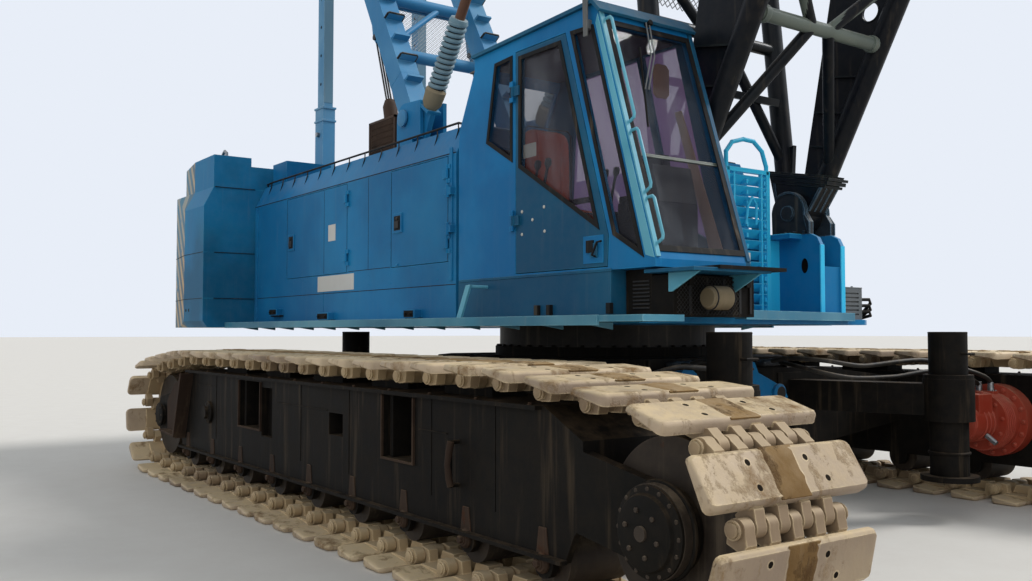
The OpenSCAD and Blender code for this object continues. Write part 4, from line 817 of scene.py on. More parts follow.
@dataclass
class Hoses:
    """Hydraulic hoses from the carbody to the travel motors, drawn on the left and mirrored."""

    body: str = "undercarriage"
    radius: float = 0.018
    sleeve_ring: float = 0.0235
    routes: dict[str, tuple[Point, ...]] = field(default_factory=lambda: {
        "a": ((1.42, .46, 1.165), (1.5, .458, 1.18), (1.6, .45, 1.2), (1.75, .442, 1.208), (1.88, .45, 1.203),
              (1.99, .52, 1.19), (2.06, .63, 1.168), (2.11, .76, 1.152), (2.15, .9, 1.16),
              (2.19, 1.05, 1.175), (2.22, 1.2, 1.186), (2.245, 1.35, 1.19), (2.275, 1.5, 1.176),
              (2.3, 1.65, 1.15), (2.33, 1.8, 1.115), (2.36, 1.93, 1.082), (2.385, 2.03, 1.05),
              (2.398, 2.09, 1.015), (2.4, 2.11, .98), (2.4, 2.11, .95)),
        "b": ((1.42, .56, 1.165), (1.5, .555, 1.168), (1.6, .535, 1.158), (1.75, .51, 1.135),
              (1.88, .54, 1.105), (1.97, .62, 1.078), (2.03, .74, 1.058), (2.075, .88, 1.053),
              (2.11, 1.03, 1.055), (2.145, 1.18, 1.06), (2.175, 1.33, 1.078), (2.205, 1.48, 1.095),
              (2.23, 1.63, 1.092), (2.255, 1.77, 1.078), (2.275, 1.9, 1.052), (2.292, 2.01, 1.02),
              (2.299, 2.08, .99), (2.3, 2.11, .965), (2.3, 2.11, .95)),
    })

    @staticmethod
    def smooth(points: Sequence[Point], steps: int = 4) -> list[Vector]:
        """Runs a smooth line through points.

        Args:
            points: The points.
            steps: Pieces between two points.

        Returns:
            The points of the line.
        """
        line = [Vector(p) for p in points]
        made = []
        for i in range(len(line) - 1):
            before, start, end, after = line[max(i - 1, 0)], line[i], line[i + 1], line[min(i + 2,
                                                                                            len(line) - 1)]
            for k in range(steps):
                t = k / steps
                second = (2 * before - 5 * start + 4 * end - after) * t ** 2
                third = (3 * start - before - 3 * end + after) * t ** 3
                made.append(0.5 * (2 * start + (end - before) * t + second + third))
        return made + [line[-1]]

    def make_hoses(self) -> None:
        """Makes the four hoses as cords, and their crimped ends."""
        ends = Form()
        for side in Side:
            for letter, points in self.routes.items():
                line = [Vector((p.x, p.y * side.value, p.z)) for p in self.smooth(points)]
                name = f"hose_{side.word}_{letter}"
                form = Form()
                form.tube(line, self.radius, 14)
                hose = form.piece("rubber_" + name, self.body, (HOSE,), stands_for=(name,))
                ring = self.sleeve_ring
                for seat, toward, reach in ((line[0], line[3], 0.075), (line[-1], line[-5], 0.05)):
                    way = (toward - seat).normalized() * reach
                    ends.lathe([(0.026, 0), (0.026, 0.3), (ring, 0.34), (ring, 0.9), (0.02, 1)], seat, way,
                               16)
                    ends.hoop(seat + way * 0.55, way, ring, 0.002, 16, 6)
        ends.piece("hose_ferrules", self.body, (STEEL,))


@dataclass
class Crawlers:
    """Track shoes and the fittings on the crawler side frames."""

    body: str = "undercarriage"
    shoe_middle: float = 2.6
    shoe_width: float = 1.0
    axle_x: float = 3.63
    pin_ring: float = 0.473
    pitch: float = 0.355
    phase: float = 0.23
    plate_length: float = 0.235
    shoe_depth: float = 0.095
    top_run_z: float = 1.15
    top_run_x: float = 2.6
    frame_face: float = 2.86
    knuckle: float = 0.046
    knuckle_span: float = 0.32
    knuckles_across: int = 9
    mud_cells: int = 8
    # Place of each hole in a shoe, shown as a disc of painted shade, along and across the track
    shoe_holes: tuple[Point, ...] = ((-0.052, -0.24), (0.05, -0.16), (-0.055, 0.19), (0.055, 0.195))
    # Rear and front end, sill and top of each pocket in a side frame
    pockets: tuple[Point, ...] = ((-1.431, -0.956, 0.627, 1.008), (1.131, 1.515, 0.627, 1.018))
    pocket_depth: float = 0.19
    # Rear and front end, underside and top of each lip on a side frame
    lips: tuple[Point, ...] = ((-2.55, -2.02, 0.92, 0.932), (-0.62, 0.3, 0.86, 0.868),
                               (1.58, 1.9, 0.83, 0.838))
    seams_x: tuple[float, ...] = (-2.02, -0.16, 0.64, 1.72)
    roller_z: float = 0.275
    roller_pitch: float = 0.7
    rear_roller_x: float = -2.8
    rollers: int = 9

    def path(self) -> list[Vector]:
        """Works out the pins' places round the loop, in X and Z.

        Returns:
            One point a pin, from the rear end of the ground run.
        """
        axle_z = self.pin_ring + self.shoe_depth
        run = Vector((self.top_run_x - self.axle_x, self.top_run_z - axle_z))
        rise_a = math.pi / 2 + math.atan2(run.y, run.x) - math.acos(self.pin_ring / run.length)
        wrap_len = self.pin_ring * rise_a
        rise_len = math.sqrt(run.length_squared - self.pin_ring ** 2)
        lengths = [2 * self.axle_x, wrap_len, rise_len, 2 * self.top_run_x, rise_len, wrap_len]
        total = sum(lengths)
        count = round(total / self.pitch)

        def turn(cx: float, a: float) -> Vector:
            """Returns the pin at an angle round a sprocket or idler."""
            return Vector((cx + self.pin_ring * math.sin(a), axle_z - self.pin_ring * math.cos(a)))

        def at(s: float) -> Vector:
            """Returns the pin at a distance along the path."""
            stage = 0
            while stage < 5 and s >= lengths[stage]:
                s -= lengths[stage]
                stage += 1
            back = math.tau - rise_a
            return (Vector((s - self.axle_x, axle_z - self.pin_ring)),
                    turn(self.axle_x, s / self.pin_ring),
                    turn(self.axle_x, rise_a) + s * Vector((math.cos(rise_a), math.sin(rise_a))),
                    Vector((self.top_run_x - s, self.top_run_z)),
                    Vector((-self.top_run_x, self.top_run_z)) + s * Vector((math.cos(back), math.sin(back))),
                    turn(-self.axle_x, back + s / self.pin_ring))[stage]

        return [at((i * total / count + self.phase) % total) for i in range(count)]

    def shoe(self, form: Form, first: Vector, second: Vector, chance: random.Random) -> None:
        """Adds one shoe with its knuckles, dark discs of painted shade for its holes, and cake of mud.

        Args:
            form: The track's mesh.
            first: The pin behind it.
            second: The pin in front of it.
            chance: Source of the small differences between shoes.
        """
        way = (second - first).normalized()
        out = Vector((way.y, -way.x))
        middle = (first + second) / 2
        home = form.at.copy()
        basis = Matrix(((way.x, 0, out.x, middle.x), (0, 1, 0, self.shoe_middle), (way.y, 0, out.y, middle.y),
                        (0, 0, 0, 1)))
        form.at = home @ basis @ Matrix.Rotation(math.radians(chance.uniform(-0.8, 0.8)), 4, "Y")
        half, wide, top = self.plate_length / 2, self.shoe_width / 2, self.shoe_depth
        form.slot = 0
        rows = []
        ends = ((-wide, 0.034, 0.012), (-wide + 0.007, 0.018, 0.005), (-wide + 0.02, 0.006, 0.001),
                (-wide + 0.04, 0.0, 0.0))
        for y, cut, thin in ends + tuple((-y, cut, thin) for y, cut, thin in reversed(ends)):
            low_a, low_b = top - 0.058 + thin, top - 0.036 + thin
            a, b = -half + cut, half - cut
            rows.append([(a, y, low_a), (a, y, top - 0.02), (a + 0.005, y, top - 0.009 - thin),
                         (a + 0.016, y, top - thin), (b - 0.016, y, top - thin),
                         (b - 0.005, y, top - 0.009 - thin), (b, y, top - 0.018), (b, y, low_b)])
        form.rings(rows)
        self.knuckles(form, first, second)
        # Painted shade: near-black discs on the plate stand for the shade inside the shoe's holes
        form.slot = 2
        for x, y in self.shoe_holes:
            form.disc((x, y, top - 0.006), (0, 0, 0.0066), 0.0165, 12)
        form.slot = 3
        rows = []
        last = self.mud_cells
        for k in range(last + 1):
            x = half * 0.985 * (2 * k / last - 1)
            row = []
            for j in range(last + 1):
                lump = -0.0015 if j in (0, last) or k in (0, last) else 0.002 + chance.uniform(0, 0.007)
                row.append((x + chance.uniform(-0.004, 0.004) * (0 < k < last),
                            -0.1 + j * 0.024 + chance.uniform(-0.008, 0.008), top + lump))
            rows.append(row + [(x, 0.09, top - 0.01), (x, -0.095, top - 0.01)])
        form.rings(rows)
        form.slot = 1
        for y in (-0.13, 0.13):
            form.prism([(-0.09, 0.03), (0.09, 0.03), (0.06, -0.036), (-0.06, -0.036)], Axis.Y, y - 0.05,
                       y + 0.05)
        form.box((-half + 0.01, -0.3, top - 0.062), (half - 0.01, 0.3, top - 0.03))
        form.at = home

    def knuckles(self, form: Form, first: Vector, second: Vector) -> None:
        """Adds the hinge eyes of a shoe, five at one pin and four at the other, and its pin."""
        form.slot = 1
        reach = (second - first).length / 2
        r, span = self.knuckle, self.knuckle_span
        step = 2 * span / self.knuckles_across
        for end in (-1, 1):
            for k in range(self.knuckles_across):
                if (k % 2 == 0) == (end > 0):
                    y0 = -span + k * step + 0.005
                    outline = [(end * (reach + r * math.sin(math.pi * j / 8)), r * math.cos(math.pi * j / 8))
                               for j in range(9)]
                    outline += [(end * (reach - 0.07), -r * 0.8),
                                (end * (reach - 0.085), self.shoe_depth - 0.045),
                                (end * (reach - 0.045), self.shoe_depth - 0.03)]
                    form.prism(outline, Axis.Y, y0, y0 + step - 0.01)
        form.lathe([(0.022, 0), (0.031, 0.006), (0.031, 0.994), (0.022, 1)], (reach, -span - 0.03, 0),
                   (0, 2 * span + 0.06, 0), 16)
        for s in (-1, 1):
            form.hoop((reach, s * (span + 0.014), 0), OUT, 0.036, 0.006, 16, 6)

    def make_tracks(self) -> None:
        """Makes both tracks, which replace their CAD loops."""
        pins = self.path()
        for side in Side:
            form = Form(mirrored(side))
            chance = random.Random(7 + side.value)
            for i, pin in enumerate(pins):
                self.shoe(form, pin, pins[(i + 1) % len(pins)], chance)
            name = "track_" + side.word
            form.piece(name + "_shoes", self.body, (SHOE, LINK, PAINTED_HOLE_SHADE, MUD), bevel=0.003, stands_for=(name,))

    def make_side_fittings(self) -> None:
        """Makes the rusty pocket frames, the painted shade at the pockets' backs, hub, lips and bolts on the
        side frames.
        """
        face = self.frame_face
        for side in Side:
            form = Form(mirrored(side))
            deep, w = self.pocket_depth, 0.014
            for x0, x1, z0, z1 in self.pockets:
                form.slot = 1
                for b in ((x0 - w, x0, z0 - w, z1), (x1, x1 + w, z0 - w, z1), (x0, x1, z0 - w, z0)):
                    form.box((b[0], face - 0.004, b[2]), (b[1], face + 0.016, b[3]))
                form.slot = 0
                form.box((x0 + 0.03, face - deep + 0.02, z0 + 0.002), (x0 + 0.07, face - 0.03, z1 - 0.004))
                form.box((x1 - 0.08, face - deep + 0.01, z0 + 0.002), (x1 - 0.05, face - 0.04, z1 - 0.004))
                # Painted shade: a near-black sheet at the back of each pocket stands for the shade in the
                # recess
                form.slot = 2
                form.box((x0 + 0.08, face - deep + 0.004, z0 + 0.05),
                         (x1 - 0.09, face - deep + 0.02, z0 + 0.26))
            form.slot = 0
            form.lathe([(0.1, 0), (0.1, 0.4), (0.085, 0.5), (0.06, 0.55), (0.055, 1)],
                       (-2.2, face - 0.002, 0.684), (0, 0.06, 0), 26)
            form.bolt_ring((-2.2, face + 0.022, 0.684), OUT, 0.078, 8, 0.009)
            for x0, x1, z0, z1 in self.lips:
                form.box((x0, face - 0.002, z0), (x1, face + 0.006, z1))
            for x in self.seams_x:
                form.box((x - 0.005, face - 0.002, 0.46), (x + 0.005, face + 0.004, 1.026))
            form.slot = 1
            for k in range(self.rollers):
                x = self.rear_roller_x + k * self.roller_pitch
                form.lathe([(0.052, 0), (0.052, 0.5), (0.04, 1)], (x, face - 0.002, self.roller_z),
                           (0, 0.03, 0), 18)
                form.bolt((x, face + 0.028, self.roller_z), OUT, 0.022)
                form.prism([(x - 0.05, 0.32), (x + 0.05, 0.32), (x + 0.03, 0.45), (x - 0.03, 0.45)], Axis.Y,
                           face - 0.002, face + 0.006)
            for k in range(12):
                form.bolt((-2.66 + k * 0.49, face + 0.03, 1.05), UP, 0.011)
            form.tube([(2.02, face + 0.052, 0.805), (2.018, face + 0.062, 0.75), (2.012, face + 0.066, 0.68),
                       (2.016, face + 0.062, 0.6), (2.02, face + 0.052, 0.555)], 0.021, 12)
            form.piece("side_fittings_" + side.word, self.body, (DARK, FLANGE, PAINTED_HOLE_SHADE), bevel=0.003)

    def make_hubs(self) -> None:
        """Makes the final drive covers and the idler brackets."""
        z, face = self.pin_ring + self.shoe_depth, self.frame_face
        for side in Side:
            form = Form(mirrored(side))
            form.lathe([(0.2, 0), (0.2, 0.3), (0.168, 0.5), (0.16, 0.8), (0.125, 1)],
                       (self.axle_x, face + 0.056, z), (0, 0.06, 0), 44)
            form.hoop((self.axle_x, face + 0.004, z), OUT, 0.206, 0.014, 40)
            form.hoop((self.axle_x, face + 0.074, z), OUT, 0.162, 0.006, 40, 6)
            form.slot = 1
            form.bolt_ring((self.axle_x, face + 0.07, z), OUT, 0.184, 16, 0.011)
            form.bolt_ring((self.axle_x, face + 0.112, z), OUT, 0.1, 6, 0.012)
            form.rod((self.axle_x, face + 0.11, z), (self.axle_x, face + 0.128, z), 0.034, 16)
            form.slot = 0
            form.lathe([(0.12, 0), (0.12, 0.6), (0.08, 1)], (-self.axle_x, face + 0.028, z), (0, 0.03, 0), 30)
            form.slot = 1
            form.bolt_ring((-self.axle_x, face + 0.046, z), OUT, 0.1, 8, 0.01)
            form.slot = 2
            form.prism([(-3.42, 0.44), (-3.1, 0.4), (-2.92, 0.4), (-2.74, 0.98), (-2.86, 1.02), (-3.2, 0.9),
                        (-3.44, 0.72)], Axis.Y, face - 0.01, face + 0.02)
            form.prism([(-2.94, 0.4), (-2.9, 0.4), (-2.68, 1.02), (-2.72, 1.02)], Axis.Y, face - 0.002,
                       face + 0.12)
            form.prism([(-3.42, 0.42), (-2.9, 0.39), (-2.9, 0.41), (-3.42, 0.44)], Axis.Y, face - 0.002,
                       face + 0.1)
            form.piece("hub_covers_" + side.word, self.body, (DARK, ROLLER, FLANGE), bevel=0.003)


@dataclass
class Carbody:
    """Fittings between the crawlers."""

    body: str = "undercarriage"
    jack_x: float = 2.55
    jack_y: float = 1.22
    motor: Point = (2.35, 0.68)
    front_x: float = 1.35
    # Place across and height of each pipe's start on the front face
    pipes: tuple[Point, ...] = ((-0.2, 0.86), (-0.3, 0.78), (0.62, 0.8), (0.72, 0.74))
    ribs_y: tuple[float, ...] = (-0.78, -0.3, 0.3, 0.78)

    def make_jack_trim(self) -> None:
        """Makes the lips, collars and grips of the four jacks."""
        form = Form()
        for side in Side:
            for end in (-1, 1):
                x, y = end * self.jack_x, side.value * self.jack_y
                form.hoop((x, y, 1.408), UP, 0.134, 0.008, 32)
                form.hoop((x, y, 0.5), UP, 0.142, 0.012)
                form.bolt_ring((x, y, 1.05), UP, 0.158, 8, 0.011)
                form.tube([(x + 0.138, y - 0.05, 1.25), (x + 0.18, y - 0.05, 1.25),
                           (x + 0.18, y + 0.05, 1.25), (x + 0.138, y + 0.05, 1.25)], 0.01, 8)
        form.piece("jack_collars", self.body, (DARK,), bevel=0.003)

    def make_motor_trim(self) -> None:
        """Makes the flange bolts, ribs and ports of the travel drives."""
        form = Form()
        for side in Side:
            form.at = mirrored(side)
            x, z = self.motor
            form.slot = 0
            form.bolt_ring((x, 2.21, z), (0, -1, 0), 0.268, 16, 0.015)
            form.bolt_ring((x, 2.01, z), (0, -1, 0), 0.2, 10, 0.013)
            form.lathe([(0.15, 0), (0.14, 0.5), (0.1, 1)], (x, 1.72, z), (0, -0.04, 0), 30)
            form.bolt_ring((x, 1.705, z), (0, -1, 0), 0.115, 8, 0.011)
            for k in range(5):
                form.hoop((x, 2.14 - k * 0.028, z), OUT, 0.237, 0.006, 36, 6)
            for k in range(3):
                form.hoop((x, 1.98 - k * 0.06, z), OUT, 0.152, 0.008, 30, 6)
            form.bolt_ring((x, 1.88, z + 0.23), UP, 0.09, 4, 0.013)
            form.slot = 1
            for dx in (-0.08, 0.08):
                for y in (2.09, 2.13):
                    form.bolt((x + dx, y, 0.926), UP, 0.008)
            form.rod((x + 0.12, 1.9, z - 0.1), (x + 0.2, 1.9, z - 0.16), 0.022, 12)
            form.tube([(x - 0.1, 1.78, z + 0.13), (x - 0.16, 1.7, z + 0.2), (x - 0.3, 1.62, z + 0.24),
                       (x - 0.62, 1.5, z + 0.22)], 0.009, 8)
        form.piece("travel_motor_ports", self.body, (RED, STEEL), bevel=0.002)

    def make_front(self) -> None:
        """Makes the blue locking plates, pipes and boxes on the carbody's ends."""
        form = Form()
        x = self.front_x
        form.prism([(-0.12, 1.04), (0.0, 1.2), (0.07, 1.18), (0.11, 1.1), (0.4, 0.98), (0.46, 0.9),
                    (0.36, 0.84), (-0.06, 0.96)], Axis.X, x - 0.004, x + 0.3)
        form.prism([(-0.62, 1.06), (-0.53, 1.17), (-0.42, 1.1), (-0.4, 1.04)], Axis.X, x - 0.004, x + 0.16)
        form.lathe([(0.07, 0), (0.07, 0.8), (0.055, 1)], (x + 0.29, 0.33, 0.94), (0.05, 0, 0), 26)
        form.slot = 1
        form.disc((x + 0.336, 0.33, 0.94), (0.008, 0, 0), 0.05, 22)
        form.bolt_ring((x + 0.3, 0.02, 1.11), AHEAD, 0.028, 3, 0.01)
        form.slot = 2
        for y, z in self.pipes:
            form.tube([(x - 0.02, y, z), (x + 0.05, y, z), (x + 0.1, y, z - 0.05), (x + 0.12, y, z - 0.22)],
                      0.012, 8)
        form.box((x - 0.004, -0.95, 0.6), (x + 0.05, -0.7, 1.0))
        form.box((x - 0.004, 0.62, 0.86), (x + 0.07, 0.92, 1.08))
        for y in self.ribs_y:
            form.box((x - 0.004, y - 0.012, 0.5), (x + 0.03, y + 0.012, 1.2))
        form.bolt_ring((0, 0, 1.29), UP, 0.978, 48, 0.014)
        form.piece("carbody_front", self.body, (BLUE, GREASY, DARK), bevel=0.003)


@dataclass
class House:
    """Doors' latches, seams, rails and plates on the machinery houses."""

    body: str = "superstructure"
    face: float = 1.72
    eave: float = 2.825
    roof: float = 3.07
    rear: float = -4.12
    front: float = 0.18
    sill: float = 1.978
    # Rear end, front end and underside of each grip on the lower side
    grips: tuple[Point, ...] = ((-3.51, -3.29, 1.59), (-2.27, -2.01, 1.53), (-0.54, -0.35, 1.53))
    # Name, rear end, front end and seam of each side door
    doors: tuple[tuple, ...] = (("rear", -3.192, -1.75, -2.263), ("front", -0.882, 0.062, None))
    rivets_x: tuple[float, ...] = (-3.9, -3.0, -2.7, -1.3, -0.9, -0.1)

    def make_trim(self) -> None:
        """Makes the seams, the roof rail, the hinge strip and the brackets on both sides."""
        f = self.face
        for side in Side:
            form = Form(mirrored(side))
            form.slot = 1
            form.box((self.rear, f - 0.002, 1.786), (self.front, f + 0.001, 1.793))
            form.box((self.rear, f - 0.002, self.eave + 0.008), (self.front, f + 0.001, self.eave + 0.015))
            form.box((-1.72, f - 0.002, self.sill), (-0.9, f + 0.001, self.sill + 0.006))
            form.box((-1.318, f - 0.002, self.sill), (-1.312, f + 0.001, self.eave))
            route = [(-4.09, f - 0.15, 3.06), (-4.09, f - 0.13, 3.105)]
            route += [(x, f - 0.125, 3.112) for x in (-3.9, -3.0, -2.0, -1.0, -0.2, 0.02)]
            route += [(0.1, f - 0.11, 3.09), (0.15, f - 0.08, 3.03), (0.165, f - 0.05, 2.95)]
            form.tube(route, 0.01, 8)
            for k in range(13):
                x = -3.95 + k * 0.33
                form.tube([(x, f - 0.128, 3.11), (x + 0.05, f - 0.1, 3.05), (x + 0.055, f - 0.07, 2.955)],
                          0.006, 6)
            form.slot = 2
            for x0, x1, z0 in self.grips:
                form.box((x0 + 0.02, f + 0.068, z0 + 0.008), (x1 - 0.02, f + 0.074, z0 + 0.062))
                for x in (x0 + 0.05, x1 - 0.05):
                    form.bolt((x, f + 0.072, z0 + 0.034), OUT, 0.013)
                form.box((x0 - 0.02, f - 0.002, z0 - 0.014), (x1 + 0.02, f + 0.04, z0 + 0.002))
            form.slot = 3
            form.box((-2.4, f - 0.002, 1.81), (-1.6, f + 0.003, 1.962))
            form.slot = 0
            for x, z0, z1 in ((0.1, 1.82, 2.88), (-0.78, 1.99, 2.0), (-4.06, 1.55, 2.8)):
                form.box((x, f - 0.002, z0), (x + 0.035, f + 0.012, z1))
            for z in (2.2, 2.5):
                form.box((0.07, f - 0.002, z), (0.165, f + 0.045, z + 0.06))
                form.rod((0.118, f + 0.04, z - 0.02), (0.118, f + 0.04, z + 0.08), 0.016, 14)
            for x in self.rivets_x:
                for z in (1.84, 1.92):
                    form.lathe([(0.009, 0), (0.006, 1)], (x, f - 0.001, z), (0, 0.004, 0), 8)
            form.piece("house_trim_" + side.word, self.body, (BLUE, RUBBER, DARK, WHITE), bevel=0.0015)

    def make_latches(self) -> None:
        """Makes the latch, seams and patch of each side door, on the door's own body."""
        f = self.face
        for side in Side:
            for name, x0, x1, seam in self.doors:
                form = Form(mirrored(side))
                form.box((x0 + 0.072, f + 0.01, 2.292), (x0 + 0.183, f + 0.0135, 2.418))
                form.slot = 1
                form.box((x0 + 0.09, f + 0.013, 2.31), (x0 + 0.165, f + 0.024, 2.37))
                form.rod((x0 + 0.128, f + 0.013, 2.395), (x0 + 0.128, f + 0.022, 2.395), 0.014, 14)
                if seam:
                    form.slot = 0
                    form.box((seam - 0.003, f - 0.001, self.sill + 0.01), (seam + 0.003, f + 0.001, 2.81))
                    form.slot = 2
                    form.box((seam + 0.1, f - 0.001, 2.3), (seam + 0.26, f + 0.002, 2.46))
                form.slot = 0
                for x in (x0 + 0.002, x1 - 0.007):
                    form.box((x, f - 0.001, self.sill + 0.004), (x + 0.005, f + 0.001, 2.813))
                form.piece(f"latch_{side.word}_{name}", f"door_{side.word}_{name}",
                           (RUBBER, PANEL, WHITE), bevel=0.0015)

    def make_roof_gear(self) -> None:
        """Makes the silencer's mesh and cap, and the vents on the roof."""
        form = Form()
        low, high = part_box("silencer_box")
        x0, x1, y0, y1, z1 = low.x - AXIS_X, high.x - AXIS_X, low.y, high.y, high.z
        for y in (y0 - 0.004, y1 + 0.004):
            form.grille((x0 + 0.03, y, self.roof + 0.03), (x1 - 0.03, y, z1 - 0.03), AHEAD, UP, 0.03, 0.0028)
        form.grille((x1 + 0.004, y0 + 0.03, self.roof + 0.03), (x1 + 0.004, y1 - 0.03, z1 - 0.03), OUT, UP,
                    0.03, 0.0028)
        for z in (self.roof + 0.012, z1 - 0.02):
            form.box((x0 - 0.008, y0 - 0.01, z), (x1 + 0.01, y0, z + 0.026))
            form.box((x0 - 0.008, y1, z), (x1 + 0.01, y1 + 0.01, z + 0.026))
            form.box((x1, y0 - 0.01, z), (x1 + 0.01, y1 + 0.01, z + 0.026))
        for x, y in ((x0 - 0.008, y0 - 0.01), (x1 - 0.016, y0 - 0.01), (x1 - 0.016, y1 - 0.016),
                     (x0 - 0.008, y1 - 0.016)):
            form.box((x, y, self.roof), (x + 0.026, y + 0.026, z1 + 0.004))
        form.piece("silencer_mesh", self.body, (BROWN,), bevel=0.0)
        form = Form()
        for y in (-0.6, 0.0, 0.6):
            for k in range(10):
                x = -4.0 + k * 0.045
                form.prism([(x, self.roof + 0.001), (x + 0.03, self.roof + 0.001),
                            (x + 0.006, self.roof + 0.02)],
                           Axis.Y, y - 0.22, y + 0.22)
        for x, y in ((-3.3, 0.3), (-2.8, 0.62)):
            form.lathe([(0.09, 0), (0.09, 0.7), (0.13, 0.72), (0.14, 0.86), (0.09, 1)], (x, y, self.roof),
                       (0, 0, 0.2), 28)
        for side in (-1, 1):
            form.box((-4.08, side * 1.25 - 0.25, 3.068), (-3.72, side * 1.25 + 0.25, 3.075))
        form.piece("roof_vents", self.body, (BLUE,), bevel=0.002)


@dataclass
class Tail:
    """Counterweight fittings."""

    body: str = "superstructure"
    rear: float = -5.64
    half: float = 2.31
    taper: float = -4.8
    seams: tuple[float, ...] = (1.787, 2.302, 3.04)

    def make_fittings(self) -> None:
        """Makes lifting lugs, seam shims, bolts and the blank plates."""
        form = Form()
        for side in Side:
            form.at = mirrored(side)
            form.slot = 2
            for x in (-4.62, -4.72):
                form.disc((x, self.half - 0.004, 1.66), (0, 0.006, 0), 0.02, 12)
            for z in self.seams[:2]:
                form.prism([(-4.14, self.half), (self.taper, self.half), (-5.51, self.half - 0.12),
                            (self.rear, self.half - 0.33), (self.rear - 0.002, self.half - 0.32),
                            (-5.512, self.half - 0.116), (self.taper, self.half + 0.003),
                            (-4.14, self.half + 0.003)], Axis.Z, z - 0.003, z + 0.004)
            form.slot = 1
            for x in (-4.45, -5.2):
                form.tube([(x, 1.99, 3.402), (x, 1.99, 3.47), (x + 0.06, 1.99, 3.5), (x + 0.12, 1.99, 3.47),
                           (x + 0.12, 1.99, 3.402)], 0.018, 10)
            for x in (-4.3, -5.2):
                form.bolt((x, 1.0, 3.303), UP, 0.04)
            form.slot = 2
            for z in self.seams:
                form.box((-4.135, 1.725, z - 0.003), (-4.117, self.half - 0.12, z + 0.004))
        form.at = Matrix.Identity(4)
        form.slot = 3
        form.box((self.rear - 0.004, -0.35, 1.95), (self.rear + 0.002, 0.35, 2.2))
        form.slot = 0
        for y in (-1.2, -0.6, 0.6, 1.2):
            for z in (1.62, 2.75):
                form.bolt((self.rear, y, z), (-1, 0, 0), 0.03)
        form.piece("tail_fittings", self.body, (TAIL_BLUE, STEEL, RUBBER, WHITE), bevel=0.002)


